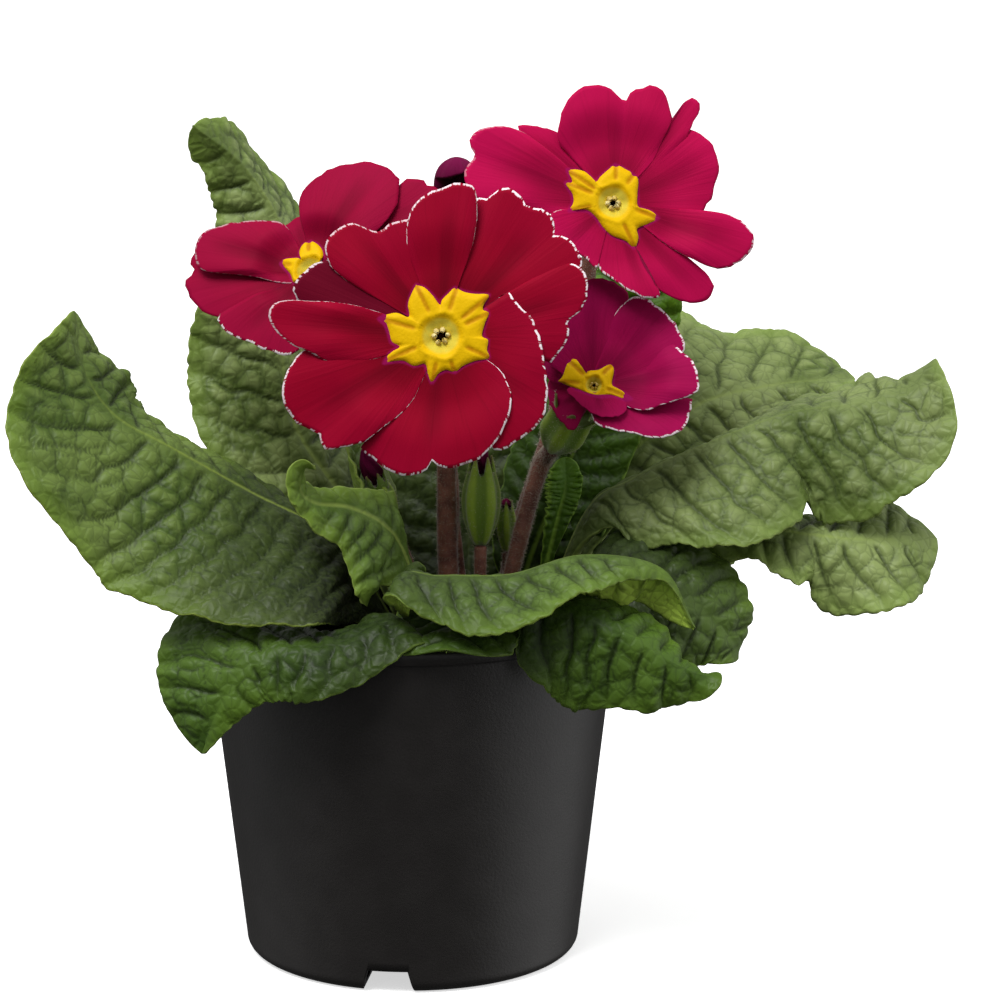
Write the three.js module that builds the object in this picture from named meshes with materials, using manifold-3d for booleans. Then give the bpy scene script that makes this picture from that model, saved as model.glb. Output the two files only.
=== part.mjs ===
// A potted primrose (Primula acaulis) in a round plastic nursery pot, in millimetres, +Z up.
// The origin is the middle of the pot's flat underside. The plant grows a little off the pot's
// axis, with its tallest blooms facing -Y, the front.
import * as THREE from 'three';
import { mergeVertices } from 'three/addons/utils/BufferGeometryUtils.js';
import Module from 'manifold-3d';

const wasm = await Module();
wasm.setup();

// ---------------------------------------------------------------- driving dimensions

const GAP = 0.3; // clearance between pieces that touch

const POT = {
  topRadius: 44, // under the lip
  lipRadius: 45,
  bottomRadius: 35.5,
  height: 76,
  lipHeight: 3,
  wall: 1.2,
  floor: 1.6,
  footRounding: 3,
  sides: 32,
};
const CHANNEL = {
  count: 3,
  height: 5, // raised from the underside
  roofWidth: 8.5,
  footWidth: 11,
  innerRadius: 17,
  firstAngle: -97.4, // degrees, the one that shows at the front
  holeRadius: 3,
  holeAt: 26, // from the pot's axis
};
const SOIL_TOP = 67;

const BLADE = {
  thickness: 0.7,
  ribThickness: 1.5,
  petioleHalfWidth: 1.7,
  petioleThickness: 2.6,
  petioleEnd: 0.16, // share of the leaf's length
  crenation: 0.035, // share of the half-width
  pucker: 0.45, // height of the ridges between veins
  tipStart: 0.8, // where the outline starts to close
  tipHalfWidth: 0.5,
  tipClosing: 0.8, // how far the outline has closed at the tip
};
const PETAL = {
  thickness: 0.65,
  rounding: 0.26, // share of the length lost at the corners
  notch: 0.09, // share of the length lost in the middle of the edge
  notchHalfWidth: 0.45,
  rootRise: 0.4, // share of the rise that the petal has at its root
  layering: 0.1, // each petal slopes across, so that its edge lies on the next one
  bowl: 1,
  wave: 0.9,
  foot: 0.16, // share of the half-width at the throat
  fullAt: 0.8, // share of the length where it is widest
  grid: 4,
};
const EYE = { lift: 2.1, thickness: 0.65, reach: 11, valley: 6.5, ring: 3.4, rimRise: 0.3, throat: 1.3 };
const TUBE = { radius: 1.9, mouthRadius: 3, length: 9, flareStart: 3, rim: 0.3 }; // the corolla's tube
const CALYX = { length: 10, radius: 3.6, toothReach: 4, toothSpread: 1.2 };
const CALYX_RIB = { count: 5, depth: 0.18 }; // depth as a share of the radius
const STEM_TOP_RADIUS = 1.6;
const APPROACH = 6; // the straight end of a stem under its calyx

// ---------------------------------------------------------------- small maths

const rad = THREE.MathUtils.degToRad;
const vec = (x, y, z) => new THREE.Vector3(x, y, z);
const UP = vec(0, 0, 1);
const along = (origin, ...steps) =>
  steps.reduce((p, [direction, distance]) => p.addScaledVector(direction, distance), origin.clone());
const smoothstep = (x) => THREE.MathUtils.smoothstep(x, 0, 1);

// Catmull-Rom through rows of numbers, with the rows evenly spaced in u from 0 to 1.
function blend(rows, u) {
  const last = rows.length - 1;
  const i = Math.min(Math.floor(u * last), last - 1);
  const t = u * last - i;
  return rows[i].map((p1, k) => {
    const p2 = rows[i + 1][k];
    const p0 = i > 0 ? rows[i - 1][k] : 2 * p1 - p2;
    const p3 = i + 2 <= last ? rows[i + 2][k] : 2 * p2 - p1;
    const [m1, m2] = [(p2 - p0) / 2, (p3 - p1) / 2];
    return (2 * p1 - 2 * p2 + m1 + m2) * t ** 3 + (3 * p2 - 3 * p1 - 2 * m1 - m2) * t ** 2 + m1 * t + p1;
  });
}

// ---------------------------------------------------------------- solids

function geometryOf(points, faces) {
  const geometry = new THREE.BufferGeometry();
  geometry.setAttribute('position', new THREE.Float32BufferAttribute(points.flat(), 3));
  geometry.setIndex(faces.flat());
  return geometry;
}

function solidOf(geometry) {
  const bare = geometry.clone().deleteAttribute('normal').deleteAttribute('uv');
  const merged = mergeVertices(bare, 1e-4);
  const vertProperties = merged.attributes.position.array;
  return new wasm.Manifold(
    new wasm.Mesh({ numProp: 3, vertProperties, triVerts: new Uint32Array(merged.index.array) }),
  );
}

function geometryFrom(solid) {
  const mesh = solid.getMesh();
  const geometry = new THREE.BufferGeometry();
  geometry.setAttribute('position', new THREE.BufferAttribute(mesh.vertProperties, 3));
  geometry.setIndex(new THREE.BufferAttribute(mesh.triVerts, 1));
  return geometry;
}

const join = (geometries) => geometryFrom(geometries.map(solidOf).reduce((all, one) => all.add(one)));
const cut = (geometry, tools) =>
  geometryFrom(tools.map(solidOf).reduce((rest, tool) => rest.subtract(tool), solidOf(geometry)));

// A closed sheet over the grid (i/rows, j/columns): surface(u, v) gives its middle point and
// thickness(u, v) how thick it is. Both faces take the same diagonals.
function sheet(rows, columns, surface, thickness) {
  const points = [];
  const step = 1e-3;
  for (const side of [1, -1]) {
    for (let i = 0; i <= rows; i++) {
      for (let j = 0; j <= columns; j++) {
        const [u, v] = [i / rows, j / columns];
        const [du, dv] = [u < 0.5 ? step : -step, v < 0.5 ? step : -step];
        const here = surface(u, v);
        const alongU = surface(u + du, v).sub(here).divideScalar(du);
        const alongV = surface(u, v + dv).sub(here).divideScalar(dv);
        const normal = alongV.cross(alongU).normalize();
        points.push(along(here, [normal, (side * thickness(u, v)) / 2]).toArray());
      }
    }
  }
  const faces = [];
  const at = (i, j) => i * (columns + 1) + j;
  const back = (rows + 1) * (columns + 1);
  for (let i = 0; i < rows; i++) {
    for (let j = 0; j < columns; j++) {
      const [a, b, c, d] = [at(i, j), at(i, j + 1), at(i + 1, j + 1), at(i + 1, j)];
      faces.push([a, b, c], [a, c, d]);
      faces.push([back + c, back + b, back + a], [back + d, back + c, back + a]);
    }
  }
  const wall = (p, q) => faces.push([p, q, back + p], [q, back + q, back + p]);
  for (let i = 0; i < rows; i++) {
    wall(at(i, 0), at(i + 1, 0));
    wall(at(i + 1, columns), at(i, columns));
  }
  for (let j = 0; j < columns; j++) {
    wall(at(0, j + 1), at(0, j));
    wall(at(rows, j), at(rows, j + 1));
  }
  return geometryOf(points, faces);
}

// A closed body round a centre line. Each ring is a list of points, and the caps are fans to the
// given end points.
function rings(loops, startPoint, endPoint) {
  const sides = loops[0].length;
  const points = [...loops.flat(), startPoint, endPoint];
  const [start, end] = [points.length - 2, points.length - 1];
  const faces = [];
  for (let k = 0; k < sides; k++) {
    const next = (k + 1) % sides;
    for (let i = 0; i + 1 < loops.length; i++) {
      const [below, above] = [i * sides, (i + 1) * sides];
      faces.push([below + k, below + next, above + next], [below + k, above + next, above + k]);
    }
    const top = (loops.length - 1) * sides;
    faces.push([start, next, k], [end, top + k, top + next]);
  }
  return geometryOf(points.map((p) => p.toArray()), faces);
}

// A closed body between loops that come back to the first, such as a flat ring.
function annulus(loops) {
  const sides = loops[0].length;
  const faces = [];
  loops.forEach((_, i) => {
    const [below, above] = [i * sides, ((i + 1) % loops.length) * sides];
    for (let k = 0; k < sides; k++) {
      const next = (k + 1) % sides;
      faces.push([below + k, below + next, above + next], [below + k, above + next, above + k]);
    }
  });
  return geometryOf(loops.flat().map((p) => p.toArray()), faces);
}

// Two directions square to an axis, the first of them level.
function squareTo(axis) {
  const level = UP.clone().cross(axis);
  const x = level.length() > 0.05 ? level.normalize() : vec(1, 0, 0);
  return [x, axis.clone().cross(x).normalize()];
}

function ring(centre, axis, sides, radiusOf) {
  const [x, y] = squareTo(axis);
  return Array.from({ length: sides }, (_, k) => {
    const angle = (2 * Math.PI * k) / sides;
    const radius = radiusOf(k);
    return along(centre, [x, radius * Math.cos(angle)], [y, radius * Math.sin(angle)]);
  });
}

// A round stem through points, from one radius to another.
function stem(points, startRadius, endRadius, sides = 7, steps = 8) {
  const place = (u) => vec(...blend(points, u));
  const loops = [];
  let side = vec(1, 0, 0);
  for (let i = 0; i <= steps; i++) {
    const u = i / steps;
    const axis = place(Math.min(u + 0.01, 1)).sub(place(Math.max(u - 0.01, 0))).normalize();
    side = side.clone().addScaledVector(axis, -side.dot(axis)).normalize();
    const other = axis.clone().cross(side);
    const radius = THREE.MathUtils.lerp(startRadius, endRadius, u);
    loops.push(
      Array.from({ length: sides }, (_, k) => {
        const angle = (2 * Math.PI * k) / sides;
        return along(place(u), [side, radius * Math.cos(angle)], [other, radius * Math.sin(angle)]);
      }),
    );
  }
  return rings(loops, place(0), place(1));
}

const turned = (geometry, degrees) => geometry.rotateZ(rad(degrees));
const lathe = (profile, sides) =>
  new THREE.LatheGeometry(profile.map(([r, z]) => new THREE.Vector2(r, z)), sides).rotateX(Math.PI / 2);

// ---------------------------------------------------------------- the scene graph

const primrose = new THREE.Group();

const paint = (color, roughness) => new THREE.MeshStandardMaterial({ color, roughness, metalness: 0 });
const MATERIALS = {
  pot: paint(0x232222, 0.5),
  soil: paint(0x2a1d14, 1),
  leaf: paint(0x55803a, 0.6),
  leafPale: paint(0x7f9a66, 0.65),
  leafYoung: paint(0x6ea53a, 0.55),
  crimson: paint(0xa10a2e, 0.7),
  magenta: paint(0xa00d4f, 0.7),
  purple: paint(0x5a0a35, 0.7),
  yellow: paint(0xf3cb12, 0.6),
  stem: paint(0x6a3f36, 0.6),
  calyx: paint(0x6f8a2a, 0.6),
};

function place(name, geometry, material) {
  const mesh = new THREE.Mesh(geometry, MATERIALS[material]);
  mesh.name = name;
  primrose.add(mesh);
  return mesh;
}

// ---------------------------------------------------------------- pot

// Radius of the pot's outer wall at a height, below the lip.
const LIP_FOOT = POT.height - POT.lipHeight;
const wallRadius = (z) => THREE.MathUtils.mapLinear(z, 0, LIP_FOOT, POT.bottomRadius, POT.topRadius);

const channelAngle = (index) => CHANNEL.firstAngle + (360 / CHANNEL.count) * index;

// A raised drain channel, which runs from near the middle out through the wall, grown by a margin.
function channel(index, margin) {
  const roof = CHANNEL.height + margin;
  const slope = (CHANNEL.footWidth - CHANNEL.roofWidth) / 2 / CHANNEL.height;
  const halfWidth = (z) => CHANNEL.footWidth / 2 + margin - slope * z;
  const below = -2;
  const outline = new THREE.Shape([
    new THREE.Vector2(-halfWidth(below), below),
    new THREE.Vector2(halfWidth(below), below),
    new THREE.Vector2(halfWidth(roof), roof),
    new THREE.Vector2(-halfWidth(roof), roof),
  ]);
  const start = CHANNEL.innerRadius - margin;
  const length = POT.topRadius - start;
  const prism = new THREE.ExtrudeGeometry(outline, { depth: length, bevelEnabled: false });
  prism.rotateX(Math.PI / 2).rotateZ(Math.PI / 2).translate(start, 0, 0);
  return turned(prism, channelAngle(index));
}
const channels = (margin) => Array.from({ length: CHANNEL.count }, (_, i) => channel(i, margin));

function makePot() {
  const { wall, height, lipRadius, footRounding, floor, sides } = POT;
  const rounding = [0, 45, 90].map((degrees) => [
    wallRadius(footRounding) - footRounding * (1 - Math.sin(rad(degrees))),
    footRounding * (1 - Math.cos(rad(degrees))),
  ]);
  const lip = [[wallRadius(LIP_FOOT), LIP_FOOT], [lipRadius, LIP_FOOT], [lipRadius, height], [0, height]];
  const outer = lathe([[0, 0], ...rounding, ...lip], sides);
  const mouth = wallRadius(LIP_FOOT) - wall;
  const over = height + 1;
  const inner = lathe(
    [[0, floor], [wallRadius(floor) - wall - 1, floor], [mouth, LIP_FOOT], [mouth, over], [0, over]],
    sides,
  );
  const hollow = cut(inner, channels(wall));
  const { holeRadius, holeAt } = CHANNEL;
  const holes = channels(0).map((_, i) => {
    const hole = new THREE.CylinderGeometry(holeRadius, holeRadius, 4 * wall, 12).rotateX(Math.PI / 2);
    return turned(hole.translate(holeAt, 0, CHANNEL.height + wall / 2), channelAngle(i));
  });
  return cut(outer, [hollow, ...channels(0), ...holes]);
}

// ---------------------------------------------------------------- leaves

// A leaf is laid out by stations from its foot in the soil to its tip. Each holds the rib's point,
// then the half-width and the dip in degrees below level of the left half, and of the right half,
// as seen looking out along the leaf. heading is the compass direction it grows in, in degrees
// from +X. curl bends each half further down towards its margin. ruffles gives the height of the
// margin's waves, how many there are and where they start, for the left and the right half.
const LEAVES = {
  leaf_left: {
    heading: 190, rows: 16, columns: 8, curl: 15, material: 'leaf',
    ruffles: [[0.7, 4, 0.53], [1, 2, 0]],
    stations: [
      [-0.5, -5, 60, 1.7, 0, 1.7, 0],
      [-6, -8, 77, 10, 20, 6, 0],
      [-15, -11, 92, 29, 15, 10, -5],
      [-33, -15, 103, 32, 35, 15, -12],
      [-49, -18, 113, 34.5, 53, 15.5, -4],
      [-61, -18, 120, 28, 46, 16, -20],
      [-67.5, -14, 129, 18, 45, 13, -45],
      [-70, -8, 140, 2, 0, 2, 0],
    ],
  },
  leaf_back_left: {
    heading: 105, rows: 14, columns: 8, curl: 10, material: 'leafPale',
    ruffles: [[2.5, 3, 0.5], [2, 3, 0]],
    stations: [
      [2.6, 6.6, 60, 1.7, 0, 1.7, 0],
      [-12, 9, 92, 5, -10, 15, 20],
      [-25, 12, 112, 20, -5, 20, 30],
      [-28, 16, 133, 19, 0, 16, 45],
      [-27, 18, 151, 16, 5, 19, 60],
      [-35, 18, 166, 10, 10, 15, 65],
      [-46, 14, 176, 7, 10, 6, 30],
    ],
  },
  leaf_front_left: {
    heading: 200, rows: 14, columns: 6, curl: 15, material: 'leaf',
    ruffles: [[1.5, 2, 0], [1, 2, 0.5]],
    stations: [
      [3.3, -11, 60, 1.7, 0, 1.7, 0],
      [-6, -33, 80.8, 8, 6, 8, 14],
      [-14, -43, 77.8, 10.5, 36, 13, 0],
      [-26, -44, 76.5, 11.5, 54, 16, -8],
      [-34, -44, 72, 9, 60, 21, -36],
      [-39, -44, 63, 4, 40, 17, -45],
      [-42, -42, 54, 2, 0, 10, -45],
    ],
  },
  leaf_young_left: {
    heading: 200, rows: 10, columns: 6, curl: 25, material: 'leafYoung',
    ruffles: [[1, 2, 0], [1, 2, 0.5]],
    stations: [
      [5.6, -7.5, 60, 1.7, 0, 1.7, 0],
      [-1, -16, 89, 15, 46, 12, -30],
      [-5, -20.5, 97, 18, 46, 9, -55],
      [-12, -23.5, 101.5, 10, 48, 5, -50],
      [-19, -26, 103, 6, 55, 4.5, -60],
      [-22, -28, 106, 4, 60, 4, -50],
      [-21.5, -28, 110.5, 3, 60, 3, -20],
      [-19, -27, 110.5, 1, 0, 1, 0],
    ],
  },
  leaf_front: {
    heading: 345, rows: 14, columns: 8, curl: 10, material: 'leaf',
    ruffles: [[0.5, 1.5, 0.2], [1.5, 1.5, 0.5]],
    stations: [
      [7.5, -14, 60, 1.7, 0, 1.7, 0],
      [-1, -33, 88, 4, 0, 8, -10],
      [7, -37, 90.5, 8, 30, 13.5, 30],
      [21, -38, 91, 9, 30, 16, 36],
      [36, -36, 94.5, 10, 62, 11.5, 22],
      [52, -33.5, 91, 12, 76, 3, 8],
      [59, -32, 78, 6, 70, 1.5, 0],
    ],
  },
  leaf_front_low: {
    heading: 262, rows: 8, columns: 6, curl: 20, material: 'leaf',
    ruffles: [[1, 2, 0], [1, 2, 0.5]],
    stations: [
      [12, -17, 60, 1.7, 0, 1.7, 0],
      [11, -27, 81, 8, 0, 6, 0],
      [9, -42, 81, 10, 5, 10, 8],
      [8, -51, 77, 2, 0, 2, 0],
    ],
  },
  leaf_front_right: {
    heading: 325, rows: 12, columns: 6, curl: 15, material: 'leaf',
    ruffles: [[1, 2, 0], [1, 3, 0.3]],
    stations: [
      [17, -15, 60, 1.7, 0, 1.7, 0],
      [24, -31, 83, 5, 0, 8, 30],
      [33, -39, 84, 8, -5, 17.5, 62],
      [43, -43, 80.5, 9, -5, 19.5, 65],
      [53, -43, 74, 9, 0, 12.5, 62],
      [60, -41, 70.5, 5, 10, 6, 55],
      [64, -39, 70, 3, 0, 3, 0],
    ],
  },
  leaf_right_low: {
    heading: 345, rows: 12, columns: 6, curl: 20, material: 'leaf',
    ruffles: [[1, 3, 0], [1, 3, 0.3]],
    stations: [
      [22, -12, 60, 1.7, 0, 1.7, 0],
      [40, -20, 86, 13, -28, 10, 35],
      [52, -24, 85.5, 14, -35, 15, 55],
      [61, -25, 80, 14, -45, 15.5, 55],
      [67, -24, 73.5, 8, -45, 10, 50],
      [68.5, -22, 69, 3, 0, 3, 0],
    ],
  },
  leaf_right: {
    heading: 2, rows: 16, columns: 8, curl: 15, material: 'leafPale',
    ruffles: [[0.8, 2, 0], [2.5, 2.5, 0.2]],
    stations: [
      [26, -2.5, 60, 1.7, 0, 1.7, 0],
      [36.5, -5.5, 95.5, 2, 20, 9, 25],
      [47, -7, 104.5, 11, 20, 17.5, 40],
      [61, -8, 111.5, 15, 20, 25.5, 49],
      [79, -6, 118, 16, 2, 23, 58],
      [93, -4, 119.5, 17, -5, 24.5, 55],
      [103.5, -2, 121.5, 16, -20, 18.5, 48],
      [111, 2, 128, 5, 0, 4, 0],
    ],
  },
  leaf_back_right: {
    heading: 20, rows: 12, columns: 8, curl: 10, material: 'leafPale',
    ruffles: [[2, 3, 0], [2, 2, 0.3]],
    stations: [
      [25, 3, 60, 1.7, 0, 1.7, 0],
      [43, 12, 100, 9, -25, 9, 45],
      [60, 19, 114, 28, -40, 18, 50],
      [75, 23, 118, 24, -28, 18, 45],
      [88, 26, 119, 19, -20, 12, 35],
      [96, 26, 119, 7, -10, 5, 0],
    ],
  },
  leaf_right_lower: {
    heading: 345, rows: 14, columns: 6, curl: 20, material: 'leaf',
    ruffles: [[1, 3, 0], [3.5, 2.5, 0.25]],
    stations: [
      [25, -7.5, 60, 1.7, 0, 1.7, 0],
      [48, -9, 88, 6, 10, 6, 45],
      [70, -11, 94.5, 9, 5, 7.5, 60],
      [84, -13, 93.5, 12, -15, 12.5, 58],
      [93, -13, 92.5, 15, -30, 16, 55],
      [103, -11, 92, 16, -35, 14.5, 50],
      [111, -7, 91, 10, -30, 8, 40],
    ],
  },
  leaf_crown_crinkled: {
    heading: 340, rows: 8, columns: 4, curl: 30, material: 'leafYoung',
    ruffles: [[0.6, 3, 0], [0.6, 3, 0.5]],
    stations: [
      [21.5, -7.5, 60, 1.7, 0, 1.7, 0],
      [27, -10, 80, 0.9, 0, 0.9, 0],
      [31, -12, 98, 2.5, -20, 2.5, -20],
      [32.5, -12, 104, 4.8, -20, 4.8, -20],
      [32.5, -11, 109.5, 3.5, -20, 3.5, -20],
    ],
  },
  leaf_crown_back: {
    heading: 70, rows: 10, columns: 6, curl: 20, material: 'leafYoung',
    ruffles: [[1.5, 2, 0], [1.5, 2, 0.5]],
    stations: [
      [19, 11, 60, 1.7, 0, 1.7, 0],
      [24, 14, 84, 5, -10, 4, -10],
      [33, 17, 106, 12, -10, 9, -10],
      [42, 19, 127, 14, -5, 14, -5],
      [46, 22, 143, 13, 0, 13, 0],
      [48, 24, 152, 3, 0, 3, 0],
    ],
  },
  leaf_crown_left: {
    heading: 170, rows: 8, columns: 4, curl: 25, material: 'leafYoung',
    ruffles: [[1, 2, 0], [1, 2, 0.5]],
    stations: [
      [4.4, -1.6, 60, 1.7, 0, 1.7, 0],
      [-7, -3, 86, 5, -25, 5, -25],
      [-12, -1, 104, 7, -25, 7, -25],
      [-13, 2, 120, 1.5, 0, 1.5, 0],
    ],
  },
  leaf_back: {
    heading: 95, rows: 12, columns: 6, curl: 20, material: 'leaf',
    ruffles: [[2, 2, 0], [2, 3, 0.3]],
    stations: [
      [12, 12, 60, 1.7, 0, 1.7, 0],
      [12, 25, 83, 15, 10, 20, -12],
      [11, 36, 107, 18, 5, 28, -5],
      [9, 52, 104, 25, 20, 28, 15],
      [7, 68, 93, 26, 25, 26, 25],
      [6, 84, 78, 4, 0, 4, 0],
    ],
  },
  leaf_back_low_left: {
    heading: 140, rows: 12, columns: 6, curl: 20, material: 'leaf',
    ruffles: [[2, 2, 0.2], [2, 2, 0.6]],
    stations: [
      [6.5, 10, 60, 1.7, 0, 1.7, 0],
      [-9, 24, 86, 9, 8, 10, 15],
      [-26, 39, 90, 14, 12, 19, 20],
      [-42, 52, 84, 16, 20, 20, 25],
      [-54, 60, 70, 2, 0, 2, 0],
    ],
  },
  leaf_back_low_right: {
    heading: 45, rows: 12, columns: 6, curl: 20, material: 'leaf',
    ruffles: [[2, 2, 0.1], [2, 2, 0.7]],
    stations: [
      [24.5, 7.5, 60, 1.7, 0, 1.7, 0],
      [36, 22, 84, 10, 15, 10, 15],
      [50, 38, 90, 20, 20, 20, 20],
      [66, 52, 86, 20, 25, 20, 25],
      [80, 62, 74, 2, 0, 2, 0],
    ],
  },
  leaf_left_low: {
    heading: 155, rows: 12, columns: 6, curl: 20, material: 'leaf',
    ruffles: [[1.5, 2, 0.4], [1.5, 2, 0.8]],
    stations: [
      [-0.5, 1.5, 60, 1.7, 0, 1.7, 0],
      [-16, 8, 83, 8, 5, 8, 5],
      [-29, 15, 86, 14, 8, 8, 8],
      [-41, 22, 84, 13, 10, 8, 10],
      [-51, 29, 78, 3, 0, 3, 0],
    ],
  },
};

// The middle surface of a leaf, over u from foot to tip and v from 0 (left margin) to 1 (right).
function leafSurface({ heading, stations, rows, curl, ruffles }) {
  const side = vec(Math.cos(rad(heading)), Math.sin(rad(heading)), 0).cross(UP);
  const rib = (u) => vec(...blend(stations, u).slice(0, 3));
  return (u, v) => {
    const [x, y, z, leftWidth, leftDip, rightWidth, rightDip] = blend(stations, u);
    const tangent = rib(Math.min(u + 0.01, 1)).sub(rib(Math.max(u - 0.01, 0))).normalize();
    const across = along(side, [tangent, -side.dot(tangent)]).normalize();
    const up = across.clone().cross(tangent);
    const isRight = v > 0.5;
    const outward = isRight ? across : across.clone().negate();
    const reach = Math.abs(2 * v - 1);
    const ridge = Math.cos(Math.PI * rows * u);
    const closing = Math.max(0, (u - BLADE.tipStart) / (1 - BLADE.tipStart));
    const inBlade = smoothstep((u - BLADE.petioleEnd / 3) / BLADE.petioleEnd);
    const bladeWidth = (isRight ? rightWidth : leftWidth) * (1 + BLADE.crenation * ridge * reach);
    const fullWidth = THREE.MathUtils.lerp(BLADE.petioleHalfWidth, bladeWidth, inBlade);
    const width = Math.max(fullWidth * Math.sqrt(1 - BLADE.tipClosing * closing ** 2), BLADE.tipHalfWidth);
    const dip = rad(isRight ? rightDip : leftDip);
    const bend = rad(curl);
    const [height, count, phase] = isRight ? ruffles[1] : ruffles[0];
    const flutter = height * reach * Math.sin(2 * Math.PI * (count * u + phase));
    const bulge = inBlade * (1 - closing) * reach * (flutter + BLADE.pucker * ridge);
    const sideways = (width * (Math.sin(dip + bend * reach) - Math.sin(dip))) / bend;
    const down = (width * (Math.cos(dip) - Math.cos(dip + bend * reach))) / bend;
    return along(
      vec(x, y, z),
      [outward, sideways + bulge * Math.sin(dip)],
      [up, bulge * Math.cos(dip) - down],
    );
  };
}

// Thicker in the petiole and along the rib.
function leafThickness(u, v) {
  const inBlade = smoothstep(u / BLADE.petioleEnd);
  const onRib = Math.abs(v - 0.5) < 0.01 ? BLADE.ribThickness : BLADE.thickness;
  return THREE.MathUtils.lerp(BLADE.petioleThickness, onRib * (u > BLADE.tipStart ? 0.8 : 1), inBlade);
}

const makeLeaf = (leaf) => sheet(leaf.rows, leaf.columns, leafSurface(leaf), leafThickness);

// ---------------------------------------------------------------- blooms

// centre is the middle of the bloom's face, and facing the way it looks. Each petal is its angle
// round the face in degrees, counterclockwise from +X as the bloom is looked at, its length, its
// half-width and how far it stands up from the face in degrees. eye scales the yellow eye.
const BLOOMS = {
  front: {
    centre: [7.2, -38, 140], facing: [0, -0.975, 0.22], color: 'crimson', eye: 1.05,
    petals: [
      [126, 31, 11, 3], [155, 30, 8, -5], [172, 36, 9, 2], [218, 35, 12.5, 2], [268, 31, 14, 3],
      [322, 29, 13, 6], [7, 31, 10, -2], [40, 32, 10.5, 0], [73, 32, 12, 2],
    ],
    stem: { radius: 2.4, points: [[9.6, -3.2, 60], [7.9, -4, 84], [7.6, -7, 112]] },
  },
  left: {
    centre: [-21, -13, 151], facing: [-0.25, -0.8, 0.5], color: 'crimson', eye: 0.9,
    petals: [
      [12, 25, 10, 0], [50, 26, 12, 3], [92, 22, 11, 4], [138, 21, 10, 4], [176, 26, 11, 2],
      [215, 25, 10, -2], [258, 22, 11, 2], [310, 22, 11, 2],
    ],
    stem: { radius: 2, points: [[11.2, 2.2, 60], [7.8, 5, 80], [6.6, 6, 108]] },
  },
  back: {
    centre: [42, -13, 163], facing: [0.12, -0.95, 0.28], color: 'magenta', eye: 0.9,
    petals: [
      [62, 27, 6, 18], [98, 26, 11, 5], [160, 32, 12, 0], [218, 18, 9, 2], [262, 21, 9, 5],
      [303, 26, 9, 0], [345, 31, 9.5, 3], [25, 25, 10, 12],
    ],
    stem: { radius: 2, points: [[16.4, 0.8, 60], [23, 6, 90], [29.5, 9, 110], [36, 11, 135]] },
  },
  right: {
    centre: [38, -15, 126], facing: [0.3, -0.45, 0.84], color: 'magenta', eye: 0.75,
    petals: [
      [5, 24, 11, 30], [55, 26, 11, 48], [100, 24, 10, 58], [148, 18, 8.5, 43], [205, 16, 10, 34],
      [255, 16, 9, 12], [312, 22, 10, 8],
    ],
    stem: { radius: 1.9, points: [[18.2, -4.6, 60], [20.3, -5.5, 78], [23.4, -5.3, 92]] },
  },
};

// The frame of a bloom: its middle and the three directions of its face.
function faceFrame({ centre, facing }) {
  const axis = vec(...facing).normalize();
  const [x, y] = squareTo(axis);
  return { centre: vec(...centre), axis, x, y };
}

// A point of a petal: s from the middle out, t from -1 to 1 across, raised square to the petal,
// which bends up as an arc whose chord stands at its rise.
function petalPoint(frame, [angle, length, , rise], s, t, width, raised) {
  const out = along(vec(0, 0, 0), [frame.x, Math.cos(rad(angle))], [frame.y, Math.sin(rad(angle))]);
  const across = frame.axis.clone().cross(out);
  const rootRise = rad(rise) * PETAL.rootRise;
  const bend = 2 * rad(rise) * (1 - PETAL.rootRise) || 1e-6;
  const here = rootRise + bend * s;
  const ahead = (length * (Math.sin(here) - Math.sin(rootRise))) / bend;
  const above = (length * (Math.cos(rootRise) - Math.cos(here))) / bend;
  const lift = raised + PETAL.layering * t * width;
  const normal = along(vec(0, 0, 0), [out, -Math.sin(here)], [frame.axis, Math.cos(here)]);
  return along(frame.centre, [out, ahead], [frame.axis, above], [across, t * width], [normal, lift]);
}

const petalBowl = (s) => PETAL.bowl * Math.sin(Math.PI * s);

function petalSheet(frame, petal, index) {
  const [, , halfWidth] = petal;
  const surface = (u, v) => {
    const t = 2 * v - 1;
    const rounding = PETAL.rounding * Math.abs(t) ** 2.4;
    const notch = PETAL.notch * Math.max(0, 1 - Math.abs(t) / PETAL.notchHalfWidth);
    const swell = Math.sin((Math.PI / 2) * Math.min(1, u / PETAL.fullAt));
    const width = halfWidth * THREE.MathUtils.lerp(PETAL.foot, 1, swell);
    const wave = PETAL.wave * u ** 3 * Math.sin(2.6 * Math.PI * t + 1.7 * index);
    return petalPoint(frame, petal, u * (1 - rounding - notch), t, width, petalBowl(u) + wave);
  };
  return sheet(PETAL.grid, PETAL.grid, surface, () => PETAL.thickness);
}

// The petals of one bloom with the tube that they grow from.
function makePetals(bloom) {
  const frame = faceFrame(bloom);
  const tubeFoot = along(frame.centre, [frame.axis, -TUBE.length]);
  const tubeTop = along(frame.centre, [frame.axis, TUBE.rim]);
  const loop = (z, radius) => ring(along(frame.centre, [frame.axis, z]), frame.axis, 8, () => radius);
  const [start, flare] = [-TUBE.length, -TUBE.flareStart].map((z) => loop(z, TUBE.radius));
  const tube = rings([start, flare, loop(TUBE.rim, TUBE.mouthRadius)], tubeFoot, tubeTop);
  return join([tube, ...bloom.petals.map((petal, index) => petalSheet(frame, petal, index))]);
}

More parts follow.
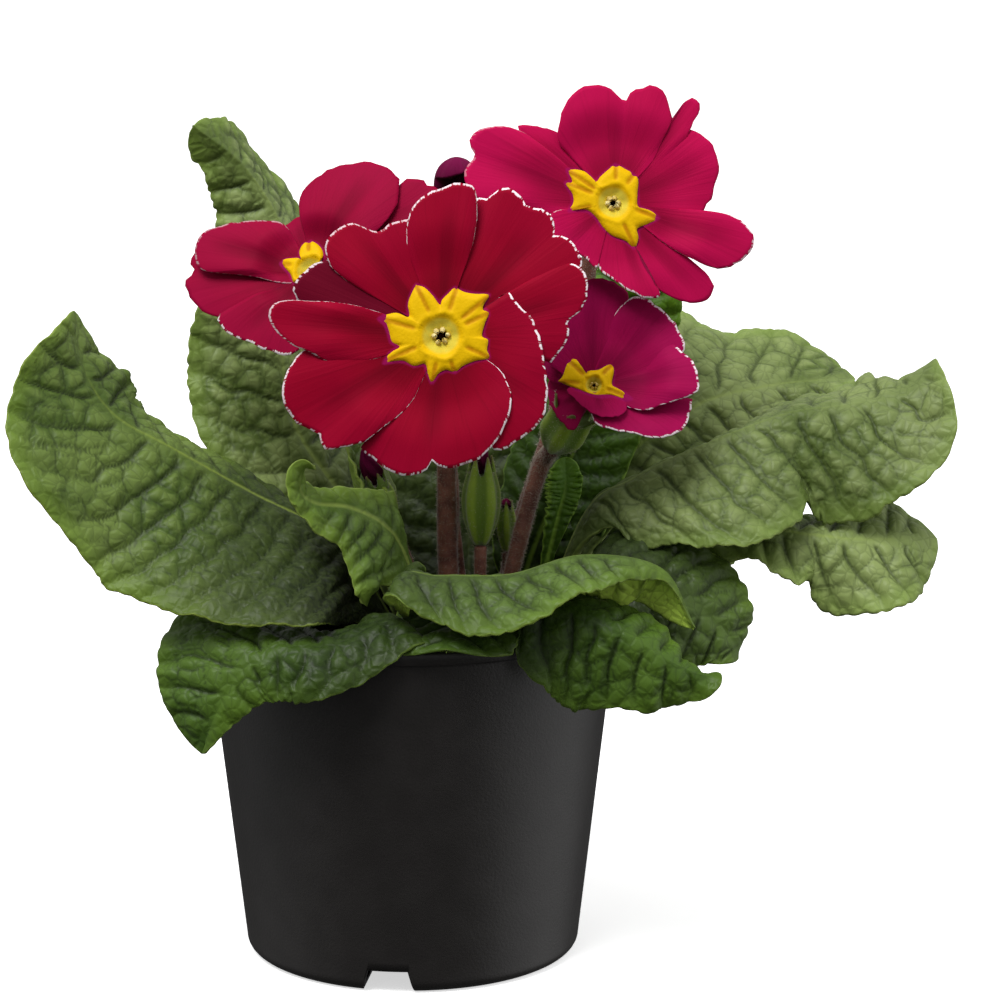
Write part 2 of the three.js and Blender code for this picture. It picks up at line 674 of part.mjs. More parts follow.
// The yellow eye: a flat star round the throat, with a point on each petal.
function makeEye(bloom) {
  const frame = faceFrame(bloom);
  const petals = [...bloom.petals].sort((a, b) => a[0] - b[0]);
  const corner = (petal, reach, height) => {
    const s = reach / petal[1];
    return petalPoint(frame, petal, s, 0, 0, petalBowl(s) + height);
  };
  const loop = (tipReach, valleyReach, height) =>
    petals.flatMap((petal, i) => {
      const next = petals[(i + 1) % petals.length];
      const valley = corner(petal, valleyReach, height).lerp(corner(next, valleyReach, height), 0.5);
      return [corner(petal, tipReach, height), valley];
    });
  const [low, high] = [EYE.lift - EYE.thickness / 2, EYE.lift + EYE.thickness / 2];
  const radii = [EYE.throat, EYE.ring, EYE.reach, EYE.valley];
  const [throat, rim, reach, valley] = radii.map((radius) => radius * bloom.eye);
  return annulus([
    loop(throat, throat, low), loop(rim, rim, low), loop(reach, valley, low),
    loop(reach, valley, high), loop(rim, rim, high + EYE.rimRise), loop(throat, throat, high),
  ]);
}

// A ribbed green calyx from a foot along a direction, with a pointed tooth on each rib.
function makeCalyx(foot, axis, mouthRadius, { length, radius, toothReach, toothSpread }) {
  const corners = 2 * CALYX_RIB.count;
  const ribbed = (size) => (k) => (k % 2 ? 1 - CALYX_RIB.depth : 1) * size;
  const at = (distance, size) => ring(along(foot, [axis, distance]), axis, corners, ribbed(size));
  const top = along(foot, [axis, length]);
  const rim = at(length, radius);
  const teeth = rim.map((point, k) => {
    const outward = point.clone().sub(top).normalize();
    return k % 2 ? along(point, [axis, 0.5]) : along(point, [axis, toothReach], [outward, toothSpread]);
  });
  const mouth = ring(top, axis, corners, () => mouthRadius);
  return rings([at(0, radius * 0.45), at(length * 0.2, radius * 0.85), rim, teeth, mouth], foot, top);
}

function placeBloom(name, bloom) {
  const frame = faceFrame(bloom);
  const calyxTop = along(frame.centre, [frame.axis, -TUBE.length - GAP]);
  const calyxFoot = along(calyxTop, [frame.axis, -CALYX.length]);
  const stemTop = along(calyxFoot, [frame.axis, -GAP]);
  const approach = along(stemTop, [frame.axis, -APPROACH]);
  const stemPoints = [...bloom.stem.points, approach.toArray(), stemTop.toArray()];
  place('petals_' + name, makePetals(bloom), bloom.color);
  place('eye_' + name, makeEye(bloom), 'yellow');
  place('calyx_' + name, makeCalyx(calyxFoot, frame.axis, TUBE.radius + GAP, CALYX), 'calyx');
  place('stem_' + name, stem(stemPoints, bloom.stem.radius, STEM_TOP_RADIUS), 'stem');
}

// ---------------------------------------------------------------- buds

// A bud is a closed calyx on its stem with the furled petals showing at its mouth.
const BUDS = {
  green_front: {
    stem: { radius: 1.5, points: [[14.3, -7, 60], [14.6, -8, 76], [14.8, -8, 90]] },
    calyx: { length: 15, radius: 3.7, toothReach: 4, toothSpread: -1.6 },
    tip: { length: 6, radius: 1.7 },
  },
  green_back: {
    stem: { radius: 1.3, points: [[21.2, -1.2, 60], [20, -1.5, 76], [19.6, -1.5, 88]] },
    calyx: { length: 13, radius: 2.6, toothReach: 3, toothSpread: -0.8 },
    tip: { length: 5, radius: 1.4 },
  },
  purple_left: {
    stem: { radius: 1.3, points: [[7.4, 2.4, 60], [1, 0, 80], [-4, -3, 94]] },
    calyx: { length: 9, radius: 2.8, toothReach: 3, toothSpread: -0.6 },
    tip: { length: 8, radius: 2 },
  },
  purple_back: {
    stem: { radius: 1.5, points: [[13.6, 6.4, 60], [11, 7, 110], [9, 7, 148]] },
    calyx: { length: 9, radius: 3, toothReach: 3, toothSpread: 0.4 },
    tip: { length: 12, radius: 3.6 },
  },
};

function placeBud(name, bud) {
  const points = bud.stem.points;
  const [before, last] = points.slice(-2).map((p) => vec(...p));
  const axis = last.clone().sub(before).normalize();
  const foot = along(last, [axis, GAP]);
  const tipFoot = along(foot, [axis, bud.calyx.length + GAP]);
  const fold = (size) => (k) => bud.tip.radius * size * (k % 2 ? 0.8 : 1);
  const furled = [0.6, 1, 0.8, 0.35].map((size, i) =>
    ring(along(tipFoot, [axis, bud.tip.length * 0.31 * i]), axis, 8, fold(size)));
  place('stem_bud_' + name, stem(points, bud.stem.radius, bud.stem.radius * 0.85), 'stem');
  place('calyx_bud_' + name, makeCalyx(foot, axis, bud.tip.radius + GAP, bud.calyx), 'calyx');
  place('petals_bud_' + name, rings(furled, tipFoot, along(tipFoot, [axis, bud.tip.length])), 'purple');
}

// ---------------------------------------------------------------- soil

// A plain round hole for what stands in the soil, from just below its foot up past the surface. It
// follows the line from the foot to where the rows of points come out of the soil.
function plantingHole(rows, radius) {
  const point = (u) => vec(...blend(rows, u).slice(0, 3));
  const foot = point(0);
  let u = 0;
  while (point(u).z < SOIL_TOP) u += 0.005;
  const slope = point(u).sub(foot).normalize();
  const ends = [-1, 2 * (SOIL_TOP - foot.z)].map((distance) => along(foot, [slope, distance]));
  const loops = ends.map((end) => ring(end, slope, 8, () => radius));
  return rings(loops, ...ends);
}

function makeSoil() {
  const inset = POT.wall + GAP;
  const bottom = POT.floor + GAP;
  const side = (z) => wallRadius(z) - inset;
  const edge = SOIL_TOP - 1;
  const floor = [[0, bottom], [side(bottom) - 1, bottom]];
  const body = lathe([...floor, [side(edge), edge], [side(edge) - 3, SOIL_TOP], [0, SOIL_TOP]], POT.sides);
  return cut(body, [...channels(inset), ...plantingHoles()]);
}

function plantingHoles() {
  const petioleRadius = Math.hypot(BLADE.petioleHalfWidth, BLADE.petioleThickness / 2) + 2 * GAP;
  const petioles = Object.values(LEAVES).map((leaf) => plantingHole(leaf.stations, petioleRadius));
  const stems = [...Object.values(BLOOMS), ...Object.values(BUDS)].map(({ stem: { points, radius } }) =>
    plantingHole(points, radius + 2 * GAP));
  return [...petioles, ...stems];
}

// ---------------------------------------------------------------- assembly

place('pot', makePot(), 'pot');
place('soil', makeSoil(), 'soil');
for (const [name, leaf] of Object.entries(LEAVES)) place(name, makeLeaf(leaf), leaf.material);
for (const [name, bloom] of Object.entries(BLOOMS)) placeBloom(name, bloom);
for (const [name, bud] of Object.entries(BUDS)) placeBud(name, bud);

export default primrose;
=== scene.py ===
# Looks for the potted primrose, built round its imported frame. Sizes below are in millimetres, as
# in the frame's own source, and become metres when a mesh is made.
import math

import bpy
import numpy as np
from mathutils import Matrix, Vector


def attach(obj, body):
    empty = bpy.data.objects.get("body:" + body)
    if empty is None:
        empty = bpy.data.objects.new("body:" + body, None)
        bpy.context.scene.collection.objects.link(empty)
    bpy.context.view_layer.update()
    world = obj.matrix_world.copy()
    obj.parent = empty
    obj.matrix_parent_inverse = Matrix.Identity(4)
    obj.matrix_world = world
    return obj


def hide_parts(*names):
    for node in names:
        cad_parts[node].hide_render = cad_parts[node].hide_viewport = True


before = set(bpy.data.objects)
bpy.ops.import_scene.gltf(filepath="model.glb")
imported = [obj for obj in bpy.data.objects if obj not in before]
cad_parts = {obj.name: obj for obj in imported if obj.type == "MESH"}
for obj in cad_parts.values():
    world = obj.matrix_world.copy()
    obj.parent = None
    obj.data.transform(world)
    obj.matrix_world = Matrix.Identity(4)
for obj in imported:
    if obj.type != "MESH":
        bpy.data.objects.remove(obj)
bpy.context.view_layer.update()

MM = 0.001
UP = np.array([0.0, 0.0, 1.0])

# ------------------------------------------------------------------ camera

TARGET = np.array([18.9, 0.0, 98.0])
DISTANCE = 900.0
ELEVATION = math.radians(12.3)
PICTURE = 1000.0  # side of the picture in pixels
FOCAL = 4239.0  # in pixels
SENSOR = 36.0
RIGHT = np.array([1.0, 0.0, 0.0])
LIFT = np.array([0.0, math.sin(ELEVATION), math.cos(ELEVATION)])
BACK = np.array([0.0, -math.cos(ELEVATION), math.sin(ELEVATION)])
EYE_POINT = TARGET + DISTANCE * BACK

camera = bpy.data.objects.new("camera", bpy.data.cameras.new("camera"))
camera.data.sensor_width = SENSOR
camera.data.lens = SENSOR * FOCAL / PICTURE
camera.data.clip_end = 20.0
camera.location = EYE_POINT * MM
camera.rotation_euler = (math.pi / 2 - ELEVATION, 0.0, 0.0)
bpy.context.scene.collection.objects.link(camera)
bpy.context.scene.camera = camera
bpy.context.scene.view_settings.view_transform = "Standard"


def from_picture(points, centre, facing):
    """Where points of the picture, x and y in turn, lie on the plane through centre, square to facing."""
    spots = np.asarray(points, float).reshape(-1, 2)
    rays = (
        RIGHT * (spots[:, :1] - PICTURE / 2) / FOCAL
        + LIFT * (PICTURE / 2 - spots[:, 1:]) / FOCAL
        - BACK
    )
    reach = ((centre - EYE_POINT) @ facing) / (rays @ facing)
    return EYE_POINT + rays * reach[:, None]


# ------------------------------------------------------------------ small maths


def unit(vectors):
    vectors = np.asarray(vectors, float)
    return vectors / np.maximum(np.linalg.norm(vectors, axis=-1, keepdims=True), 1e-9)


def smoothstep(x):
    x = np.clip(x, 0.0, 1.0)
    return x * x * (3 - 2 * x)


def blend(rows, u):
    """Catmull-Rom through rows of numbers, with the rows evenly spaced in u from 0 to 1."""
    rows = np.asarray(rows, float)
    u = np.atleast_1d(u)
    last = len(rows) - 1
    i = np.minimum((u * last).astype(int), last - 1)
    t = (u * last - i)[:, None]
    padded = np.vstack([2 * rows[0] - rows[1], rows, 2 * rows[-1] - rows[-2]])
    p0, p1, p2, p3 = (padded[i + k] for k in range(4))
    m1 = (p2 - p0) / 2
    m2 = (p3 - p1) / 2
    return (2 * p1 - 2 * p2 + m1 + m2) * t**3 + (3 * p2 - 3 * p1 - 2 * m1 - m2) * t**2 + m1 * t + p1


def hill(distance, width):
    """A smooth hill: 1 at no distance, and less over about its width."""
    return np.exp(-((distance / width) ** 2))


def hashed(i, j, k):
    """A repeatable number from 0 to 1 for each pair of whole numbers."""
    n = np.sin(i * 127.1 + j * 311.7 + k * 74.7) * 43758.5453
    return n - np.floor(n)


def wander(x, seed):
    """Smooth noise from -1 to 1 along a line."""
    i = np.floor(x)
    t = smoothstep(x - i)
    return 2 * (hashed(i, 0, seed) * (1 - t) + hashed(i + 1, 0, seed) * t) - 1


def distance_to_loop(points, loop):
    """Distance from 2-D points to a closed loop, negative inside it."""
    best = np.full(len(points), 1e9)
    inside = np.zeros(len(points), bool)
    for a, b in zip(loop, np.roll(loop, -1, axis=0)):
        ab = b - a
        t = np.clip(((points - a) @ ab) / max(ab @ ab, 1e-9), 0, 1)
        best = np.minimum(best, np.linalg.norm(points - a - t[:, None] * ab, axis=1))
        crosses = (a[1] > points[:, 1]) != (b[1] > points[:, 1])
        slope = ab[0] / ab[1] if ab[1] else 0.0
        inside ^= crosses & (points[:, 0] < a[0] + (points[:, 1] - a[1]) * slope)
    return np.where(inside, -best, best)


# ------------------------------------------------------------------ meshes


def grid_faces(rows, columns, start=0, flip=False):
    """Quads over a grid of rows x columns points. Unflipped, they face columns x rows."""
    at = start + np.arange(rows * columns).reshape(rows, columns)
    quads = np.stack([at[:-1, :-1], at[:-1, 1:], at[1:, 1:], at[1:, :-1]], -1).reshape(-1, 4)
    return quads[:, ::-1] if flip else quads


def rim_of(rows, columns):
    """The points round the rim of a grid."""
    at = np.arange(rows * columns).reshape(rows, columns)
    return np.concatenate([at[0, :-1], at[:-1, -1], at[-1, :0:-1], at[:0:-1, 0]])


def rim_faces(rows, columns, flip):
    """Quads that close a grid and its copy below it round their rim."""
    rim = rim_of(rows, columns)
    after = np.roll(rim, -1)
    below = rows * columns
    quads = np.stack([after, rim, rim + below, after + below], -1)
    return quads[:, ::-1] if flip else quads


def stitched_rim(fine, coarse):
    """Faces between the rim of a grid and that of a copy with half as many rows and columns."""
    above = rim_of(*fine)
    below = rim_of(*coarse) + fine[0] * fine[1]
    corners = [np.roll(above, -2)[::2], above[1::2], above[::2], below, np.roll(below, -1)]
    return np.stack(corners, -1)


def grid_normals(points):
    along_u = np.gradient(points, axis=0)
    along_v = np.gradient(points, axis=1)
    return unit(np.cross(along_v, along_u))


def loop_faces(rows, sides):
    """Quads between loops of points, one above the other."""
    at = np.arange(rows * sides).reshape(rows, sides)
    after = np.roll(at, -1, axis=1)
    return np.stack([at[:-1], after[:-1], after[1:], at[1:]], -1).reshape(-1, 4)


def capped(rows, sides):
    """Faces of a closed tube of loops: the quads between them, then a cap at each end."""
    foot = np.arange(sides)[None]
    return [loop_faces(rows, sides), foot[:, ::-1], foot + (rows - 1) * sides]


def round_turn(sides):
    return np.arange(sides) * 2 * math.pi / sides


def tube(points, radii, sides):
    """The loops of points of a tube through points."""
    tangents = unit(np.gradient(points, axis=0))
    loops = []
    side = RIGHT
    turn = round_turn(sides)[:, None]
    for point, tangent, radius in zip(points, tangents, radii):
        side = unit(side - tangent * (side @ tangent))
        other = np.cross(tangent, side)
        loops.append(point + radius * (np.cos(turn) * side + np.sin(turn) * other))
    return np.vstack(loops)


class Shape:
    """Points, faces and numbers per point that grow into one mesh."""

    def __init__(self):
        self.points = []
        self.faces = []
        self.marks = {}
        self.slots = []
        self.count = 0

    def add(self, points, faces, slot=0, **marks):
        points = np.asarray(points, float).reshape(-1, 3)
        for name in set(self.marks) | set(marks):
            values = self.marks.setdefault(name, [np.zeros(self.count)] if self.count else [])
            mark = np.asarray(marks.get(name, 0.0), float)
            values.append(np.broadcast_to(mark.ravel(), len(points)))
        self.points.append(points)
        for face in faces:
            self.faces.append(face + self.count)
            self.slots.append(np.full(len(face), slot))
        self.count += len(points)

    def piece(self, name, materials, slot, nodes):
        mesh = bpy.data.meshes.new(name)
        points = np.vstack(self.points) * MM
        sizes = np.concatenate([np.full(len(f), f.shape[1]) for f in self.faces])
        corners = np.concatenate([f.ravel() for f in self.faces])
        mesh.vertices.add(len(points))
        mesh.vertices.foreach_set("co", points.ravel())
        mesh.loops.add(len(corners))
        mesh.loops.foreach_set("vertex_index", corners.astype(np.int32))
        mesh.polygons.add(len(sizes))
        starts = np.concatenate([[0], np.cumsum(sizes)[:-1]])
        mesh.polygons.foreach_set("loop_start", starts.astype(np.int32))
        mesh.polygons.foreach_set("material_index", np.concatenate(self.slots).astype(np.int32))
        mesh.polygons.foreach_set("use_smooth", np.ones(len(sizes), bool))
        for mark, values in self.marks.items():
            layer = mesh.attributes.new(mark, "FLOAT", "POINT")
            layer.data.foreach_set("value", np.concatenate(values).astype(np.float32))
        for material in materials:
            mesh.materials.append(material)
        mesh.update(calc_edges=True)
        mesh.validate()
        thing = bpy.data.objects.new(name, mesh)
        bpy.context.scene.collection.objects.link(thing)
        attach(thing, "root")
        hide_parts(*nodes)


# ------------------------------------------------------------------ materials


def colour(code):
    """A colour as Blender's linear numbers, from its hex code."""
    parts = [int(code[i : i + 2], 16) / 255 for i in (0, 2, 4)]
    return [c / 12.92 if c <= 0.04045 else ((c + 0.055) / 1.055) ** 2.4 for c in parts] + [1.0]


class Paint:
    """A material with short calls for its nodes."""

    def __init__(self, name, **sockets):
        self.material = bpy.data.materials.new(name)
        self.material.use_nodes = True
        self.tree = self.material.node_tree
        self.shader = self.tree.nodes["Principled BSDF"]
        for socket, value in sockets.items():
            self.shader.inputs[socket.replace("_", " ")].default_value = value
        self.place = self.tree.nodes.new("ShaderNodeTexCoord").outputs["Object"]

    def node(self, kind, **sockets):
        """A new node with values or links in its sockets."""
        node = self.tree.nodes.new("ShaderNode" + kind)
        for name, value in sockets.items():
            self.link(value, node.inputs[name.replace("_", " ")])
        return node

    def link(self, source, target):
        if isinstance(source, bpy.types.NodeSocket):
            self.tree.links.new(source, target)
        else:
            target.default_value = source

    def mark(self, name):
        node = self.node("Attribute")
        node.attribute_name = name
        return node.outputs["Fac"]

    def maths(self, operation, a, b):
        node = self.node("Math")
        node.operation = operation
        self.link(a, node.inputs[0])
        self.link(b, node.inputs[1])
        return node.outputs[0]

    def within(self, value, low, high, start=0.0, end=1.0):
        """Smoothly from start to end as value goes from low to high."""
        node = self.node("MapRange", Value=value, From_Min=low, From_Max=high, To_Min=start, To_Max=end)
        node.interpolation_type = "SMOOTHSTEP"
        return node.outputs[0]

    def mix(self, share, a, b):
        node = self.node("Mix")
        node.data_type = "RGBA"
        self.link(share, node.inputs["Factor"])
        self.link(colour(a) if isinstance(a, str) else a, node.inputs["A"])
        self.link(colour(b) if isinstance(b, str) else b, node.inputs["B"])
        return node.outputs["Result"]

    def tint(self, base, other, value, low, high, start=0.0, end=1.0):
        """Base with a share of another colour, which follows a value or a mark of the mesh."""
        if isinstance(value, str):
            value = self.mark(value)
        return self.mix(self.within(value, low, high, start, end), base, other)

    def joined(self, x, y, z):
        return self.node("CombineXYZ", X=x, Y=y, Z=z).outputs[0]

    def noise(self, vector, scale, detail=3.0, roughness=0.5):
        node = self.node("TexNoise", Vector=vector, Scale=scale, Detail=detail, Roughness=roughness)
        return node.outputs["Fac"]

    def cells(self, vector, scale):
        node = self.node("TexVoronoi", Vector=vector, Scale=scale)
        node.feature = "DISTANCE_TO_EDGE"
        return node.outputs["Distance"]

    def finish(self, base, height=None, depth=0.0002):
        self.link(base, self.shader.inputs["Base Color"])
        if height is not None:
            bump = self.node("Bump", Distance=depth, Height=height)
            self.link(bump.outputs[0], self.shader.inputs["Normal"])
        return self.material


def leaf_paint(name, deep, mid, pale, edge, rib, under):
    """A wrinkled leaf: sunken veins darkened with painted shade, a painted highlight on the tops of its
    blisters, painted shade towards its foot, a bright edge and a pale rib.
    """
    paint = Paint(name, Roughness=0.48, Specular_IOR_Level=0.22, Sheen_Weight=0.02, Sheen_Roughness=0.5)
    groove = paint.mark("groove")
    fine = paint.cells(paint.place, 420.0)
    grain = paint.noise(paint.place, 900.0, 2.0)
    base = paint.tint(mid, pale, paint.noise(paint.place, 45.0, 3.0), 0.3, 0.7)
    # Painted highlight: the tops of the blisters are paler, as if catching the light.
    base = paint.tint(base, pale, "dome", 0.35, 1.0, 0.0, 0.65)
    # Painted shade: darker in the fine creases between small cells and along the sunken veins.
    base = paint.tint(base, deep, fine, 0.0, 0.1, 0.25, 0.0)
    base = paint.tint(base, deep, groove, 0.15, 0.9, 0.0, 0.8)
    base = paint.tint(base, edge, "margin", 0.5, 6.0, 0.35, 0.0)
    # Painted shade towards the foot, where the crown shades the leaf, nearly black right at it.
    base = paint.tint(base, deep, "base", 0.1, 0.6, 0.0, 0.75)
    base = paint.tint(base, "070a04", "base", 0.6, 0.95, 0.0, 0.8)
    base = paint.tint(base, rib, "rib", 0.3, 0.85, 0.0, 0.75)
    below = paint.tint(under, rib, groove, 0.2, 0.9)
    below = paint.tint(below, rib, fine, 0.0, 0.1, 0.35, 0.0)
    base = paint.mix(paint.mark("under"), base, below)
    base = paint.tint(base, rib, "margin", 0.0, 0.45, 0.6, 0.0)
    base = paint.tint(base, pale, grain, 0.35, 0.65, 0.0, 0.12)
    height = paint.maths("ADD", paint.within(fine, 0.0, 0.3), paint.maths("MULTIPLY", grain, 0.35))
    return paint.finish(base, height, 0.00012)


def petal_paint(name, deep, mid, bright, back):
    """A velvety petal: fine darker streaks, a violet fringe round the eye and a dashed pale edge."""
    paint = Paint(name, Roughness=0.6, Specular_IOR_Level=0.04, Sheen_Weight=0.03, Sheen_Roughness=0.35)
    reach = paint.mark("reach")
    seed = paint.mark("seed")
    fan = paint.maths("MULTIPLY", paint.mark("fan"), 26.0)
    streaks = paint.noise(paint.joined(fan, reach, seed), 1.0, 4.0, 0.6)
    base = paint.tint(mid, bright, reach, 0.1, 1.0)
    base = paint.tint(base, mid, paint.noise(paint.place, 55.0, 2.0), 0.35, 0.7, 0.0, 0.5)
    base = paint.tint(base, deep, streaks, 0.5, 0.75, 0.0, 0.22)
    base = paint.tint(base, deep, reach, 0.2, 0.65, 0.5, 0.0)
    # Painted shade along the crease down each petal's middle, and in the hollow mouth of an opening bud.
    base = paint.tint(base, deep, "crease", 0.2, 1.0, 0.0, 0.35)
    base = paint.tint(base, "a01464", "eye", 0.1, 0.7, 0.6, 0.0)
    base = paint.mix(paint.mark("under"), base, back)
    along = paint.joined(paint.mark("along"), seed, 0.0)
    dash = paint.within(paint.noise(along, 0.9, 2.0, 0.6), 0.43, 0.5)
    width = paint.maths("MULTIPLY", paint.noise(along, 2.5, 1.0), 0.7)
    line = paint.maths("SUBTRACT", width, paint.mark("rim"))
    dash = paint.maths("MULTIPLY", dash, paint.within(line, -0.12, 0.02))
    dash = paint.maths("MULTIPLY", dash, paint.mark("dashes"))
    return paint.finish(paint.mix(dash, base, "fbeef4"), streaks, 0.0001)


def plain_paint(name, dark, light, scale, depth, **sockets):
    """A surface of one material, mottled between two colours."""
    paint = Paint(name, **sockets)
    mottle = paint.noise(paint.place, scale, 4.0)
    grain = paint.noise(paint.place, scale * 12, 2.0)
    base = paint.tint(dark, light, mottle, 0.3, 0.7)
    base = paint.tint(base, dark, grain, 0.3, 0.7, 0.0, 0.25)
    return paint.finish(base, paint.maths("ADD", mottle, grain), depth)


def eye_paint(name):
    """The golden eye: orange in its grooves, greener towards the throat."""
    paint = Paint(name, Roughness=0.5, Specular_IOR_Level=0.06)
    base = paint.tint("e6b806", "b06a06", "groove", 0.2, 1.0, 0.0, 0.75)
    base = paint.tint(base, "cfc54c", "throat", 0.2, 1.0, 0.0, 0.8)
    base = paint.tint(base, "e3b408", paint.noise(paint.place, 700.0), 0.4, 0.7, 0.0, 0.3)
    return paint.finish(base, paint.noise(paint.place, 1500.0), 0.0001)


def green_paint(name, dark, light, tip):
    """A calyx: paler along its ribs and reddish at the points of its teeth."""
    paint = Paint(name, Roughness=0.55, Specular_IOR_Level=0.3, Sheen_Weight=0.3)
    base = paint.tint(dark, light, "ribs", 0.2, 0.9)
    base = paint.tint(base, dark, paint.noise(paint.place, 220.0), 0.4, 0.7, 0.0, 0.4)
    base = paint.tint(base, tip, "tips", 0.4, 1.0, 0.0, 0.8)
    return paint.finish(base, paint.noise(paint.place, 1400.0), 0.00012)


LEAF = leaf_paint("leaf", "162208", "3d5218", "667a38", "769428", "83953a", "8aa044")
# A darker copy of the leaf, painted shade for the front leaves low on the plant; its underside is far
# brighter than the leaf's own, as painted light shining through it.
LEAF_HALF_SHADED = leaf_paint("leaf_half_shaded", "141e08", "364917", "587030", "6f8e26", "748a36", "c4e45c")
# A darker copy again, painted shade for the lowest leaves and those deep in the crown.
LEAF_SHADED = leaf_paint("leaf_shaded", "101a06", "304a10", "4e6a20", "628022", "6c8236", "7d9638")
LEAF_PALE = leaf_paint("leaf_pale", "2a3814", "53662a", "8a9a5c", "82a03a", "8a9c4e", "869c4c")
LEAF_FRESH = leaf_paint("leaf_fresh", "142406", "3c6410", "5a8418", "6f9a20", "7c9c38", "84a43a")
LEAF_YOUNG = leaf_paint("leaf_young", "1e2e0c", "48621e", "708c3e", "88a434", "9aae54", "86a040")
CRIMSON = petal_paint("petal_crimson", "4a0210", "8c041f", "950429", "680822")
CARMINE = petal_paint("petal_carmine", "540218", "8c042c", "940836", "70092c")
MAGENTA = petal_paint("petal_magenta", "60021e", "a60a3c", "ba0c4c", "800c38")
VIOLET = petal_paint("petal_violet", "5c0228", "9c0a44", "9e0c4c", "740c3a")
PURPLE = petal_paint("petal_purple", "16020a", "4a0a28", "780f45", "320a1e")
EYE = eye_paint("eye")
ANTHER = plain_paint("anther", "c9a93c", "f3e7ae", 800.0, 0.0001, Roughness=0.6)
# Dark brown for the hole down the throat: painted shade inside the tube.
THROAT_SHADE = plain_paint("throat", "4a2810", "7a4a1c", 500.0, 0.0001, Roughness=0.7)
STEM = plain_paint(
    "stem", "63382f", "9a6452", 260.0, 0.0002, Roughness=0.5, Sheen_Weight=0.8, Sheen_Roughness=0.3
)
HAIR = plain_paint("hair", "b5a898", "d8cebe", 400.0, 0.00005, Roughness=0.6)
CALYX = green_paint("calyx", "5f7c1c", "8aa52c", "6c5a30")
POT = plain_paint("pot", "272524", "2c2a29", 140.0, 0.00005, Roughness=0.36, Specular_IOR_Level=0.4)
SOIL = plain_paint("soil", "120c08", "2c1f16", 180.0, 0.0012, Roughness=0.95, Specular_IOR_Level=0.1)

# ------------------------------------------------------------------ leaves

FOOT_HEIGHT = 60.0  # where petioles and stems end, in the soil
BLADE_THICKNESS = 0.6
PETIOLE_HALF_WIDTH = 1.7
PETIOLE_THICKNESS = 2.4
PETIOLE_END = 0.16  # share of the leaf's length
TIP_START = 0.8
TIP_HALF_WIDTH = 0.15
TOOTH = 2.6  # from one tooth of the margin to the next
TOOTH_DEPTH = 0.5
LOBE = 8.0  # from one broad lobe of the margin to the next
LOBE_DEPTH = 0.7
SLANT = 0.25  # how far the side veins lean towards the tip
BOW = 0.2  # how far they curve towards it
CELL = 4.3  # least distance between the middles of two blisters
VEIN_DEPTH = 0.55
BLISTER = 0.55
PLEAT = 0.45
RIB_GROOVE = 0.5
RIB_DEPTH = 0.9  # how far the rib stands out below the blade
RIB_HALF_WIDTH = 0.8
VEIN_WIDTH = 0.55
FORK_WIDTH = 0.5
WALL_WIDTH = 0.35  # of the small veins between blisters
# How far from its foot a leaf is painted darker, as painted shade from the crown.
PAINTED_SHADE_REACH = 44.0  # how far from its foot a leaf is dark
NO_FOLD = (0, 0.5, 0.0)
NOTCH_DEPTH = 0.2  # of the notch in the margin at a fold
NOTCH_WIDTH = 0.016
NEARBY = 0.01  # share of a leaf's length over which its direction is taken
GRID = 0.5  # size of a face at fineness 1
TRIED_SPOTS = 9000
MOST_BLISTERS = 3000
BATCH = 3000  # points whose blisters are looked for at a time
FAR = 1e6
